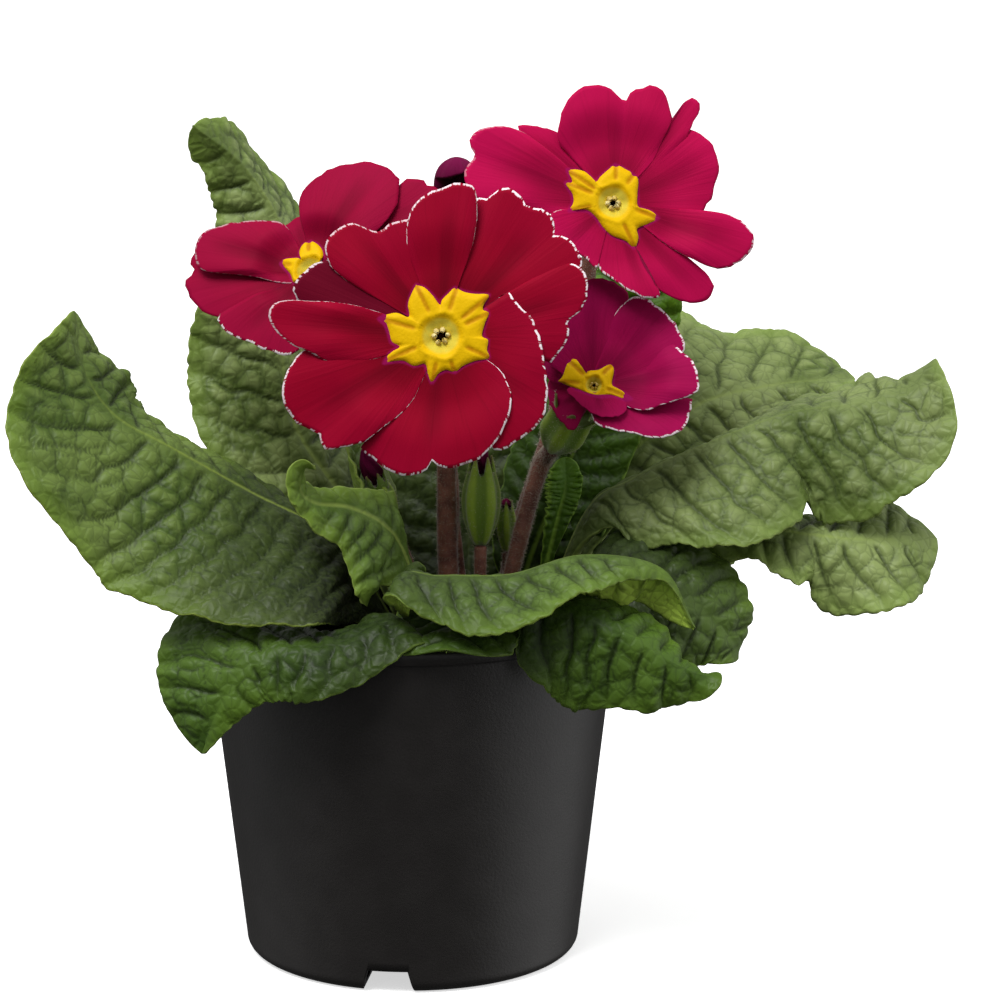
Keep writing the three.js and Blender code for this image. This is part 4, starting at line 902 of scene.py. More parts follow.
# Each bloom's petals and eye are outlined by points of the picture, x and y in turn, which lie on
# the plane through its centre, square to its facing. A petal is its layer, how much of its edge is
# dashed, its outline from one side of its foot round to the other, and its own facing if it stands
# up. throat and calyx are their radii, and eye_lift is how far the eye stands out. A stem is its
# radius and the points of its lower part.
BLOOMS = {
    "front": dict(
        centre=[7.2, -38, 140], facing=[0, -0.975, 0.22], middle=(441, 336), paint=CRIMSON,
        throat=3.5, seed=1,
        petals=[
            (1, 0.8, [430, 290, 416, 272, 408, 250, 407, 230, 412, 210, 423, 197, 438, 189, 455, 184,
                468, 184, 475, 190, 477, 215, 472, 245, 460, 275, 448, 292]),
            (-2, 1, [455, 290, 468, 240, 475, 200, 482, 198, 490, 197, 497, 190, 504, 187, 513, 190,
                521, 197, 528, 206, 543, 209, 552, 215, 555, 226, 555, 236, 564, 236, 573, 242, 579, 252,
                582, 262, 575, 280, 520, 300, 480, 310]),
            (-1, 1, [480, 315, 508, 292, 530, 280, 550, 268, 566, 263, 576, 264, 583, 270, 588, 282,
                587, 297, 582, 308, 576, 314, 568, 320, 570, 328, 568, 340, 562, 349, 556, 357, 551, 362,
                535, 355, 490, 340]),
            (0, 1, [475, 322, 495, 302, 508, 292, 517, 303, 529, 315, 537, 330, 541, 345, 544, 362,
                547, 380, 547, 400, 544, 415, 536, 428, 520, 440, 508, 447, 495, 450, 480, 430, 465, 400,
                452, 360]),
            (1, 0.9, [470, 348, 500, 370, 510, 390, 511, 405, 507, 420, 500, 435, 492, 448, 480, 458,
                465, 463, 452, 468, 440, 468, 433, 461, 424, 472, 410, 475, 397, 474, 385, 468, 372, 458,
                362, 445, 395, 420, 420, 385, 430, 360]),
            (2, 0.8, [432, 362, 420, 385, 413, 400, 400, 415, 380, 430, 365, 442, 350, 446, 335, 449,
                325, 450, 322, 443, 319, 435, 308, 429, 298, 424, 290, 414, 284, 402, 283, 390, 286, 375,
                295, 360, 310, 348, 350, 342, 400, 340]),
            (3, 0.6, [405, 350, 390, 354, 370, 360, 345, 364, 325, 361, 310, 352, 295, 347, 283, 338,
                274, 327, 269, 317, 270, 308, 277, 303, 290, 301, 310, 302, 335, 303, 360, 307, 385, 315,
                405, 325]),
            (-1, 0.7, [400, 325, 350, 318, 310, 312, 297, 300, 293, 287, 298, 277, 308, 268, 325, 260,
                345, 266, 380, 295, 410, 315]),
            (0, 0.6, [418, 305, 400, 298, 380, 290, 355, 285, 340, 275, 330, 265, 325, 250, 326, 240,
                333, 231, 343, 225, 355, 223, 365, 228, 375, 231, 382, 232, 387, 225, 396, 221, 405, 220,
                415, 222, 425, 240, 435, 275, 436, 300]),
        ],
        star=[416, 285, 425, 288, 433, 296, 440, 305, 442, 300, 448, 294, 455, 288, 464, 292, 475, 294,
            489, 295, 484, 304, 483, 310, 489, 313, 485, 323, 482, 336, 488, 340, 487, 350, 489, 358,
            475, 361, 463, 366, 455, 372, 446, 370, 438, 374, 432, 383, 428, 374, 425, 364, 414, 366,
            404, 361, 395, 361, 384, 363, 390, 353, 399, 347, 391, 342, 388, 331, 385, 324, 379, 319,
            386, 315, 397, 313, 409, 317, 408, 305, 411, 295],
        stem=(2.4, [[9.6, -3.2, 60], [7.9, -4, 84], [7.6, -7, 112]]),
    ),
    "left": dict(
        centre=[-21, -13, 151], facing=[-0.25, -0.8, 0.5], middle=(311, 272), paint=CARMINE,
        throat=2.6, seed=2,
        petals=[
            (2, 0, [316, 245, 309, 226, 303, 213, 302, 203, 306, 194, 313, 186, 322, 179, 333, 172,
                345, 169, 357, 166, 368, 165, 378, 167, 386, 170, 392, 171, 398, 178, 402, 184, 398, 210,
                375, 238, 330, 262]),
            (0, 0, [350, 250, 400, 200, 403, 183, 412, 180, 424, 180, 428, 186, 438, 188, 440, 205,
                425, 235, 385, 258, 335, 270]),
            (0, 0, [300, 262, 292, 245, 284, 229, 289, 222, 300, 217, 305, 217, 318, 235, 318, 255]),
            (2, 0.3, [304, 262, 297, 244, 288, 229, 275, 224, 262, 224, 245, 226, 230, 228, 218, 232,
                207, 237, 201, 244, 199, 252, 199, 260, 201, 269, 208, 275, 225, 277, 250, 279, 270, 282,
                290, 284, 302, 280]),
            (0, 0, [303, 270, 260, 260, 215, 255, 196, 253, 190, 262, 194, 269, 190, 276, 184, 282,
                187, 292, 192, 300, 198, 307, 205, 313, 215, 316, 225, 317, 245, 315, 265, 310, 290, 295,
                305, 282]),
            (1, 0.9, [302, 278, 270, 296, 245, 307, 228, 314, 219, 318, 220, 324, 224, 331, 232, 336,
                240, 340, 248, 342, 256, 345, 262, 349, 270, 352, 280, 355, 293, 355, 308, 345, 315, 320,
                315, 285]),
            (0, 0.5, [312, 284, 300, 320, 306, 345, 325, 355, 350, 352, 362, 340, 362, 320, 345, 300,
                322, 280]),
            (1, 0.5, [322, 282, 345, 308, 372, 325, 395, 318, 408, 300, 410, 275, 398, 258, 370, 252,
                330, 262]),
        ],
        star=[281, 264, 286, 260, 298, 259, 302, 261, 300, 253, 304, 245, 311, 242, 318, 245, 323, 251,
            324, 258, 321, 265, 333, 264, 341, 272, 334, 282, 324, 282, 322, 294, 312, 299, 303, 290,
            300, 284, 294, 283, 291, 275],
        stem=(2.0, [[11.2, 2.2, 60], [7.8, 5, 80], [6.6, 6, 108]]),
    ),
    "back": dict(
        centre=[42, -13, 163], facing=[0.12, -0.95, 0.28], middle=(613, 203), paint=MAGENTA,
        throat=3.0, seed=3,
        petals=[
            (2, 0, [604, 180, 585, 165, 570, 155, 560, 147, 557, 140, 557, 128, 560, 115, 565, 103,
                573, 94, 582, 89, 592, 86, 600, 86, 607, 89, 612, 94, 618, 98, 622, 104, 627, 98, 631, 92,
                640, 90, 648, 87, 655, 88, 661, 92, 666, 102, 668, 112, 670, 122, 662, 140, 650, 165,
                628, 185]),
            (1, 0, [628, 190, 652, 152, 668, 125, 677, 114, 682, 105, 689, 99, 696, 101, 699, 108,
                697, 116, 692, 123, 689, 131, 678, 150, 640, 192]),
            (1, 0, [632, 190, 655, 165, 670, 148, 682, 135, 690, 131, 697, 134, 705, 138, 711, 145,
                714, 155, 717, 165, 717, 175, 714, 188, 710, 200, 704, 208, 702, 214, 690, 216, 670, 214,
                636, 207]),
            (2, 0.7, [634, 208, 665, 216, 685, 215, 702, 213, 715, 214, 728, 217, 740, 223, 748, 232,
                753, 240, 749, 250, 744, 258, 736, 264, 728, 268, 718, 270, 708, 268, 695, 262, 680, 254,
                665, 244, 630, 216]),
            (0, 0, [630, 218, 660, 240, 685, 256, 700, 268, 710, 278, 714, 288, 711, 297, 703, 301,
                693, 303, 680, 300, 668, 295, 655, 287, 643, 275, 632, 258, 620, 222]),
            (1, 0.9, [622, 222, 640, 262, 652, 285, 660, 297, 645, 299, 630, 292, 615, 282, 602, 272,
                597, 262, 598, 250, 604, 224]),
            (2, 0.9, [606, 222, 599, 245, 597, 268, 587, 259, 575, 252, 560, 250, 549, 240, 548, 224,
                554, 212, 580, 208, 600, 208]),
            (1, 0.2, [598, 212, 570, 214, 550, 214, 520, 211, 490, 205, 472, 196, 464, 184, 464, 172,
                468, 163, 476, 158, 473, 152, 469, 145, 470, 138, 477, 131, 488, 128, 500, 127, 515, 130,
                530, 138, 545, 150, 555, 162, 598, 192]),
            (0, 0, [600, 198, 560, 175, 530, 145, 518, 127, 530, 126, 545, 128, 557, 132, 562, 145,
                575, 160, 606, 188]),
        ],
        star=[567, 170, 577, 170, 586, 173, 595, 182, 600, 177, 608, 170, 615, 165, 624, 169, 637, 178,
            637, 195, 638, 207, 650, 211, 658, 218, 648, 224, 637, 229, 638, 238, 634, 248, 625, 241,
            612, 236, 603, 228, 596, 218, 588, 211, 578, 210, 569, 211, 573, 203, 572, 194, 565, 183,
            572, 182],
        stem=(2.0, [[16.4, 0.8, 60], [23, 6, 90], [29.5, 9, 110], [36, 11, 135]]),
    ),
    "right": dict(
        centre=[38, -15, 126], facing=[0.42, -0.43, 0.8], middle=(594, 386), paint=VIOLET, eye_lift=1.5,
        throat=1.6, seed=4, calyx=4.8, star_facing=[-0.05, -0.93, 0.36],
        petals=[
            (0, 0, [572, 382, 545, 358, 545, 335, 556, 310, 572, 292, 585, 281, 600, 278, 615, 283,
                628, 292, 625, 315, 612, 345, 602, 375], [0, -0.97, 0.24]),
            (1, 0.9, [590, 372, 600, 345, 610, 325, 620, 308, 630, 300, 638, 297, 646, 298, 652, 303,
                659, 308, 668, 314, 674, 322, 679, 330, 683, 340, 685, 350, 670, 365, 645, 378, 612, 387],
                [-0.1, -0.95, 0.28]),
            (2, 0.9, [606, 376, 625, 360, 640, 348, 655, 341, 665, 343, 675, 349, 684, 356, 691, 362,
                697, 371, 700, 380, 701, 390, 697, 396, 688, 400, 675, 404, 660, 408, 640, 411, 610, 400],
                [-0.15, -0.85, 0.5]),
            (1, 0.9, [608, 392, 645, 404, 670, 404, 690, 402, 690, 411, 688, 420, 684, 428, 678, 434,
                668, 438, 658, 439, 645, 438, 632, 434, 620, 432, 605, 428, 594, 422, 588, 400],
                [0.1, -0.72, 0.69]),
            (2, 0, [606, 390, 618, 397, 626, 404, 627, 410, 622, 416, 610, 418, 598, 417, 586, 410,
                575, 400, 566, 391, 578, 386], [0.05, -0.6, 0.8]),
            (1, 0, [584, 392, 582, 410, 579, 424, 573, 430, 565, 426, 556, 415, 550, 404, 548, 390,
                552, 378, 566, 378, 582, 384], [-0.5, -0.7, 0.5]),
            (0, 0, [578, 384, 560, 384, 546, 376, 545, 360, 552, 348, 562, 345, 567, 352, 574, 366],
                [-0.3, -0.85, 0.4]),
        ],
        star=[558, 382, 563, 377, 566, 368, 570, 361, 577, 361, 579, 370, 585, 378, 588, 372, 598, 371,
            608, 366, 612, 366, 614, 372, 612, 385, 617, 389, 625, 393, 632, 399, 626, 401, 612, 397,
            600, 398, 590, 396, 578, 391, 567, 386],
        stem=(1.9, [[18.2, -4.6, 60], [20.3, -5.5, 78], [23.4, -5.3, 92]]),
    ),
}
PETAL_SLOTS = {CRIMSON: "petal", CARMINE: "petal", MAGENTA: "petal_magenta", VIOLET: "petal_magenta"}


def along_outline(points, count, closed=False):
    """Points evenly spread along a smooth line through points, and how far along it each is."""
    if closed:
        points = np.vstack([points, points[:1]])
    dense = blend(points, np.linspace(0, 1, 400))
    steps = np.concatenate([[0], np.cumsum(np.linalg.norm(np.diff(dense, axis=0), axis=1))])
    wanted = np.linspace(0, steps[-1], count + closed)[:count]
    return np.stack([np.interp(wanted, steps, dense[:, k]) for k in range(3)], -1), wanted


def square_to(axis):
    x = unit(np.cross(UP, axis))
    return x, np.cross(axis, x)


def spokes(axis, turn):
    """Directions square out from an axis, at each turn."""
    x, y = square_to(axis)
    return np.cos(turn)[:, None] * x + np.sin(turn)[:, None] * y


def in_face(points, centre, facing):
    """Where the camera sees points against the plane of a bloom's face, in that plane."""
    rays = points - EYE_POINT
    reach = ((centre - EYE_POINT) @ facing) / (rays @ facing)
    x, y = square_to(facing)
    return (EYE_POINT + rays * reach[:, None] - centre) @ np.stack([x, y], -1)


def make_petals(name, bloom):
    """A bloom's petals, each on its own layer, and the tube behind them."""
    centre = np.array(bloom["centre"], float)
    facing = unit(bloom["facing"])
    middle = from_picture(bloom["middle"], centre, facing)[0]
    star = in_face(from_picture(bloom["star"], centre, facing), centre, facing)
    star_reach = np.max(np.linalg.norm(star - in_face(middle[None], centre, facing), axis=1))
    funnel = FUNNEL * bloom["throat"]
    grid = (PETAL_ROWS, PETAL_COLUMNS)
    size = PETAL_ROWS * PETAL_COLUMNS
    fan = np.linspace(-1, 1, PETAL_COLUMNS)[None, :]
    shape = Shape()
    for index, (layer, dashes, outline, *own) in enumerate(bloom["petals"]):
        own = unit(own[0]) if own else facing
        seed = 10 * bloom["seed"] + index
        rim, run = along_outline(from_picture(outline, middle, own), PETAL_COLUMNS)
        spread = rim[None] - middle
        span = np.linalg.norm(spread, axis=-1)
        start = np.minimum(funnel / span, PETAL_START)
        reach = start + (1 - start) * np.linspace(0, 1, PETAL_ROWS)[:, None]
        fringe = 0.45 * (hashed(np.arange(PETAL_COLUMNS), 1, seed) - 0.5) * (1 - fan**4)
        ragged = reach + fringe / np.maximum(span, 1) * reach**12
        points = middle + spread * ragged[..., None]
        swell = np.sin(math.pi * reach)
        clear = smoothstep((span * reach / star_reach - 1.0) / 0.8)
        crease = hill(fan, 0.14) * swell
        rise = layer * (FOOT_LAYER + (LAYER - FOOT_LAYER) * clear)
        rise = rise + BOWL * swell * clear * (0.7 + 0.3 * (1 - fan**2)) - 0.5 * crease * clear
        rise = rise + 0.6 * clear * reach**2 * wander(3.2 * fan + seed, seed) * (1 - 0.4 * fan**4)
        rise = rise + 0.12 * clear * reach**3 * wander(15 * fan + seed, seed + 1)
        rise = rise - 0.6 * np.abs(fan) ** 6 * clear
        sunk = smoothstep((funnel + 0.3 - span * reach) / (0.8 * bloom["throat"]))
        points = points + own * (rise - FOOT_SINK * sunk)[..., None]
        normals = grid_normals(points)
        flip = np.mean(normals @ own) < 0
        if flip:
            normals = -normals
        half = normals * (PETAL_THICKNESS / 2 * (1 - 0.5 * reach**6))[..., None]
        to_star = distance_to_loop(in_face(points.reshape(-1, 3), centre, facing), star)
        marks = dict(
            reach=reach, fan=fan, seed=seed, eye=to_star.reshape(grid),
            rim=span * (1 - reach), along=run, dashes=dashes, crease=crease,
        )
        both = {key: np.tile(np.broadcast_to(mark, grid).ravel(), 2) for key, mark in marks.items()}
        both["under"] = np.repeat([0.0, 1.0], size)
        back = grid_faces(*grid, start=size, flip=not flip)
        faces = [grid_faces(*grid, flip=flip), back, rim_faces(*grid, flip)]
        shape.add(np.stack([points + half, points - half]), faces, **both)
    down = np.linspace(-1.3, -TUBE_LENGTH, 12)
    flare = TUBE_RADIUS + 1.1 * smoothstep((down + 3) / 3)
    outer = tube(centre + facing * down[:, None], flare, TUBE_SIDES)
    shape.add(outer, [loop_faces(len(down), TUBE_SIDES)[:, ::-1]], seed=5.0, under=1.0, eye=9.0)
    shape.piece("corolla_" + name, [bloom["paint"]], PETAL_SLOTS[bloom["paint"]], ["petals_" + name])


def make_star(name, bloom):
    """The raised golden eye with its throat ring, anthers and throat."""
    facing = unit(bloom["facing"])
    own = unit(bloom.get("star_facing", facing))
    middle = from_picture(bloom["middle"], np.array(bloom["centre"], float), facing)[0]
    rim, _ = along_outline(from_picture(bloom["star"], middle, own), STAR_COLUMNS, closed=True)
    x, y = square_to(own)
    spread = rim - middle
    throat = bloom["throat"]
    inner = throat * unit(spread) * 0.35
    s = np.linspace(0, 1, STAR_ROWS)[:, None]
    points = middle + inner * (1 - s[..., None]) + spread * s[..., None]
    angle = np.arctan2(spread @ y, spread @ x)
    span = np.hypot(spread @ x, spread @ y)
    is_tip = (span > np.roll(span, 5)) & (span > np.roll(span, -5)) & (span > np.roll(span, 1))
    tips = angle[is_tip & (span >= np.roll(span, -1))]
    off = np.abs((angle[:, None] - tips[None] + math.pi) % (2 * math.pi) - math.pi).min(axis=1)
    r = np.linalg.norm(points - middle, axis=-1)
    groove = hill(off[None] * r, 0.6) * smoothstep((r - FUNNEL * throat) / 1.5)
    arms = 0.3 * np.sin(math.pi * s) * smoothstep((r - throat) / 2)
    crown = 1 + 0.05 * np.cos(5 * angle)
    ring = 0.3 * hill(r / crown - FUNNEL * throat, 0.5)
    eye_lift = bloom.get("eye_lift", STAR_LIFT)
    lift = eye_lift + arms + ring - 0.3 * groove - 0.35 * smoothstep((s - 0.85) / 0.15)
    lift = lift - 1.4 * smoothstep((FUNNEL * throat * crown - r) / throat)
    points = points + own * lift[..., None]
    half = own * (STAR_THICKNESS / 2 * (1 - 0.6 * s**4))[..., None]
    rows = 2 * STAR_ROWS
    at = np.arange(rows * STAR_COLUMNS).reshape(rows, STAR_COLUMNS)
    below = np.roll(at, -1, axis=0)
    quads = np.stack([at, np.roll(at, -1, 1), np.roll(below, -1, 1), below], -1).reshape(-1, 4)
    if np.sum(np.cross(spread, np.roll(spread, -1, axis=0)) @ own) < 0:
        quads = quads[:, ::-1]
    in_throat = 1 - smoothstep((r / throat - 0.8) / 0.5)
    shape = Shape()
    shape.add(
        np.concatenate([points + half, (points - half)[::-1]]), [quads],
        groove=np.concatenate([groove, groove[::-1]]),
        throat=np.concatenate([in_throat, in_throat[::-1]]),
    )
    rng = np.random.default_rng(bloom["seed"])
    for k in range(ANTHERS):
        a = 2 * math.pi * (k + 0.3 * rng.random()) / ANTHERS
        out = math.cos(a) * x + math.sin(a) * y
        foot = middle + out * throat * 0.5 + own * (eye_lift - 1.6)
        head = middle + out * throat * (0.2 + 0.14 * rng.random()) + own * (eye_lift - 0.1)
        path = foot + (head - foot) * np.linspace(0, 1, len(ANTHER_RADII))[:, None]
        radii = throat * ANTHER_RADII * rng.uniform(0.75, 1.1)
        shape.add(tube(path, radii, ANTHER_SIDES), [loop_faces(len(radii), ANTHER_SIDES)], slot=1)
    # The well down the throat takes the dark brown painted shade.
    depth = np.linspace(eye_lift - 1.2, -WELL_DEPTH, WELL_ROWS)
    walls = throat * np.linspace(0.4, 0.25, WELL_ROWS)
    well = tube(middle + own * depth[:, None], walls, WELL_SIDES)
    floor = len(well) - WELL_SIDES + np.arange(WELL_SIDES)
    fan = np.stack([floor, np.roll(floor, 1), np.full(WELL_SIDES, len(well))], -1)
    well = np.vstack([well, middle - own * WELL_DEPTH])
    shape.add(well, [loop_faces(WELL_ROWS, WELL_SIDES), fan], slot=2)
    shape.piece("star_" + name, [EYE, ANTHER, THROAT_SHADE], "eye", ["eye_" + name])


def add_hairs(shape, points, normals, count, length, rng):
    """Short straight hairs out of random spots of a surface."""
    picked = rng.integers(0, len(points), count)
    stray = rng.uniform(-HAIR_STRAY, HAIR_STRAY, (count, 3))
    stray = stray - normals[picked] * np.sum(stray * normals[picked], axis=1)[:, None]
    foot = points[picked] + stray - normals[picked] * HAIR_ROOT
    out = unit(normals[picked] + rng.normal(0, 0.2, (count, 3)))
    side = unit(np.cross(out, unit(rng.normal(0, 1, (count, 3)))))
    other = np.cross(out, side)
    turn = round_turn(3)[None, :, None]
    base = foot[:, None] + HAIR_RADIUS * (np.cos(turn) * side[:, None] + np.sin(turn) * other[:, None])
    tip = foot + out * (length * rng.uniform(0.5, 1.0, count))[:, None]
    first = 4 * np.arange(count)[:, None]
    sides = [first + np.array(face) for face in ([0, 1, 3], [1, 2, 3], [2, 0, 3], [2, 1, 0])]
    shape.add(np.concatenate([base, tip[:, None]], axis=1), [np.concatenate(sides)], slot=1)


def make_stem(name, points, radius, top_radius, hairs):
    share = np.linspace(0, 1, STEM_ROWS)
    path = blend(points, share)
    radii = radius + (top_radius - radius) * share
    radii = radii * (1 + 0.04 * wander(share * 14, radius * 10))
    radii[-1] *= 0.6
    outer = tube(path, radii, STEM_SIDES)
    normals = unit(outer - np.repeat(path, STEM_SIDES, axis=0))
    shape = Shape()
    shape.add(outer, capped(STEM_ROWS, STEM_SIDES))
    piece = "stalk_" + name
    rng = np.random.default_rng(len(piece) * 7 + int(radius * 10))
    shown = outer[:, 2] > HAIRS_FROM
    add_hairs(shape, outer[shown], normals[shown], hairs, HAIR_LENGTH, rng)
    shape.piece(piece, [STEM, HAIR], "stem", ["stem_" + name])


def make_calyx(name, foot, axis, length, radius, mouth, tooth_reach, tooth_spread, seed):
    """A ribbed calyx with five pointed teeth, closed round a hollow mouth."""
    turn = round_turn(CALYX_SIDES)
    out = spokes(axis, turn)
    ridge = np.clip((np.cos(5 * turn) + 1) / 2, 0, 1)
    tooth = ridge**1.6
    none = 0 * ridge
    rings = []
    for z in np.linspace(0, 1, CALYX_ROWS):
        swell = 0.45 + 0.55 * math.sin(math.pi / 2 * min(1, z * 1.8)) + 0.06 * math.sin(math.pi * z)
        if tooth_spread < 0:
            swell = 1.05 * math.sin(math.pi * (0.1 + 0.66 * z)) ** 0.8
        size = radius * swell * (1 - 0.18 * (1 - ridge))
        rings.append((length * z + none, size, ridge, none))
    for t in np.linspace(0.2, 1, TOOTH_ROWS):
        outer = size + tooth_spread * t**1.5 * tooth
        rings.append((length + tooth_reach * t * tooth, outer, ridge, t * tooth))
    for t in np.linspace(1, 0, TOOTH_ROWS):
        inner = np.maximum(size + tooth_spread * t**1.5 * tooth - 0.5, mouth)
        rings.append((length + tooth_reach * t * tooth, inner, none, t * tooth))
    rings.append((length - 1.5 + none, mouth + none, none, none))
    heights, sizes, ribs, tips = (np.stack(values)[..., None] for values in zip(*rings))
    points = (foot + axis * heights + out * sizes).reshape(-1, 3)
    shape = Shape()
    shape.add(points, capped(len(rings), CALYX_SIDES), ribs=ribs, tips=tips)
    outside = CALYX_ROWS + TOOTH_ROWS
    hairy = points[: outside * CALYX_SIDES]
    rng = np.random.default_rng(seed)
    add_hairs(shape, hairy, np.tile(out, (outside, 1)), CALYX_HAIRS, CALYX_HAIR_LENGTH, rng)
    shape.piece("cup_" + name, [CALYX, HAIR], "calyx", ["calyx_" + name])


for name, bloom in BLOOMS.items():
    make_petals(name, bloom)
    make_star(name, bloom)
    axis = unit(bloom["facing"])
    calyx_top = np.array(bloom["centre"], float) - axis * (TUBE_LENGTH + GAP)
    calyx_foot = calyx_top - axis * CALYX_LENGTH
    stem_top = calyx_foot - axis * GAP
    radius, points = bloom["stem"]
    points = points + [list(stem_top - axis * APPROACH), list(stem_top)]
    cup_radius = bloom.get("calyx", CALYX_RADIUS)
    make_calyx(name, calyx_foot, axis, CALYX_LENGTH, cup_radius, TUBE_RADIUS + GAP, 4.0, 1.2, bloom["seed"])
    make_stem(name, points, radius, STEM_TOP_RADIUS, STEM_HAIRS)

# ------------------------------------------------------------------ buds

BUDS = {
    "green_front": dict(
        radius=1.5, points=[[14.3, -7, 60], [14.6, -8, 76], [14.8, -8, 90]],
        calyx=(15, 4.1, 4, -0.9), tip=(6, 1.7),
    ),
    "green_back": dict(
        radius=1.3, points=[[21.2, -1.2, 60], [20.6, -1.4, 76], [20.4, -1.4, 87]],
        calyx=(9, 2.1, 2, -0.5), tip=(2, 1.1),
    ),
    "purple_left": dict(
        radius=1.3, points=[[7.4, 2.4, 60], [1, 0, 80], [-4, -3, 94]],
        calyx=(9, 2.8, 3, -0.6), tip=(8, 2),
    ),
    "purple_back": dict(
        radius=1.5, points=[[13.6, 6.4, 60], [9.6, 8.6, 84], [8, 10.5, 110], [9.2, 7, 148]],
        calyx=(9, 3, 3, 0.4), tip=(13, 4.6, True),
    ),
}
FURLED_SIDES = 40
FURLED_ROWS = 48
BUD_STEM_HAIRS = 500
MOUTH_TOP = 0.78  # share of the hood's height


def make_furled(name, foot, axis, length, radius, opening=False):
    """Petals rolled into a twisted point, or a blunt hood with its mouth towards the front."""
    turn = round_turn(FURLED_SIDES)
    out = spokes(axis, turn)
    ahead = smoothstep((-out[:, 1] - 0.1) / 0.35)
    heights = np.linspace(0, 1, FURLED_ROWS)
    loops = []
    hollows = []
    for z in heights:
        if opening:
            size = 0.5 + z if z < 0.5 else max(1 - ((z - 0.5) / 0.5) ** 2.6, 0.02) ** 0.5
            hollow = ahead * smoothstep((MOUTH_TOP + 0.1 * out[:, 0] - z) / 0.06)
            folds = (1 + 0.05 * np.sin(7 * turn)) * (1 - 0.75 * hollow)
        else:
            size = 0.6 + 1.5 * z if z < 0.27 else math.cos((z - 0.27) / 0.73 * 1.45) ** 0.6
            hollow = 0 * turn
            folds = 1 + 0.16 * np.sin(5 * (turn + 1.9 * z)) + 0.05 * np.sin(10 * (turn + 1.9 * z))
        hollows.append(hollow)
        loops.append(foot + axis * length * z + out * (radius * size * folds)[:, None])
    # Painted shade in the hollow of the bud's mouth: it is marked as crease and given a low reach, both of
    # which darken it.
    dark = np.stack(hollows)
    fan = np.tile(np.sin(5 * turn), FURLED_ROWS)
    shape = Shape()
    shape.add(
        np.vstack(loops), capped(FURLED_ROWS, FURLED_SIDES),
        reach=heights[:, None] * (1 - dark), fan=fan, eye=9.0, rim=9.0, crease=dark,
    )
    shape.piece("corolla_" + name, [PURPLE], "petal_bud", ["petals_" + name])


for index, (name, bud) in enumerate(BUDS.items()):
    name = "bud_" + name
    before, last = np.array(bud["points"][-2:], float)
    axis = unit(last - before)
    foot = last + axis * GAP
    length, radius, tooth_reach, tooth_spread = bud["calyx"]
    tip_length, tip_radius, *opening = bud["tip"]
    mouth = tip_radius + GAP
    make_stem(name, bud["points"], bud["radius"], bud["radius"] * 0.85, BUD_STEM_HAIRS)
    make_calyx(name, foot, axis, length, radius, mouth, tooth_reach, tooth_spread, 20 + index)
    make_furled(name, foot + axis * (length + GAP), axis, tip_length, tip_radius, bool(opening))

# ------------------------------------------------------------------ pot and soil

POT_TOP_RADIUS = 44.0
POT_LIP_RADIUS = 45.0
POT_BOTTOM_RADIUS = 35.5
POT_HEIGHT = 76.0
POT_LIP = 3.0
POT_WALL = 1.2
POT_FLOOR = 1.6
POT_SIDES = 160
FOOT_ROUNDING = 3.0
CHANNELS = 3
CHANNEL_HEIGHT = 5.0
CHANNEL_ROOF = 8.5
CHANNEL_FOOT = 11.0
CHANNEL_START = 17.0
CHANNEL_ANGLE = -97.4
SOIL_TOP = 67.0
SOIL_BOTTOM = 8.0
SOIL_RINGS = 26
SOIL_SIDES = 96
CRUMBS = 420
CRUMB_SIDES = 6
CRUMB_RADII = np.array([0.35, 0.6, 0.55, 0.25])  # from end to end, against the crumb's size


def wall_radius(z):
    return POT_BOTTOM_RADIUS + (POT_TOP_RADIUS - POT_BOTTOM_RADIUS) * z / (POT_HEIGHT - POT_LIP)


def revolve(profile, sides):
    """A closed solid from a profile that starts and ends on the axis."""
    turn = round_turn(sides)
    ring = np.stack([np.cos(turn), np.sin(turn), 0 * turn], -1)
    loops = [ring * r + UP * z for r, z in profile[1:-1]]
    shape = Shape()
    shape.add(np.vstack(loops), [loop_faces(len(loops), sides)])
    for (_, z), rim, flip in ((profile[0], 0, True), (profile[-1], (len(loops) - 1) * sides, False)):
        at = np.arange(sides) + rim
        after = np.roll(at, -1)
        hub = np.full(sides, shape.count)
        fan = np.stack([after, at, hub] if flip else [at, after, hub], -1)
        shape.add(UP * z, [fan - shape.count])
    return shape


def bare_object(shape, name):
    mesh = bpy.data.meshes.new(name)
    faces = [tuple(face) for block in shape.faces for face in block]
    mesh.from_pydata([tuple(p) for p in np.vstack(shape.points) * MM], [], faces)
    thing = bpy.data.objects.new(name, mesh)
    bpy.context.scene.collection.objects.link(thing)
    return thing


def cut_away(thing, tool):
    modifier = thing.modifiers.new("cut", "BOOLEAN")
    modifier.operation = "DIFFERENCE"
    modifier.solver = "EXACT"
    modifier.object = tool
    with bpy.context.temp_override(object=thing, active_object=thing, selected_objects=[thing]):
        bpy.ops.object.modifier_apply(modifier=modifier.name)
    bpy.data.objects.remove(tool)


def channel_tool(index):
    """A bar with sloping sides that cuts one drain channel, from the middle out through the wall."""
    slope = (CHANNEL_FOOT - CHANNEL_ROOF) / 2 / CHANNEL_HEIGHT
    half = [CHANNEL_FOOT / 2 - slope * z for z in (-2, CHANNEL_HEIGHT)]
    section = [(-half[0], -2), (half[0], -2), (half[1], CHANNEL_HEIGHT), (-half[1], CHANNEL_HEIGHT)]
    angle = math.radians(CHANNEL_ANGLE + 360 / CHANNELS * index)
    out = np.array([math.cos(angle), math.sin(angle), 0.0])
    side = np.array([-math.sin(angle), math.cos(angle), 0.0])
    ends = [out * r + side * w + UP * z for r in (CHANNEL_START, POT_TOP_RADIUS) for w, z in section]
    sides = [[0, 4, 5, 1], [1, 5, 6, 2], [2, 6, 7, 3], [3, 7, 4, 0], [0, 1, 2, 3], [7, 6, 5, 4]]
    shape = Shape()
    shape.add(ends, [np.array(sides)[:, ::-1]])
    return bare_object(shape, "channel")


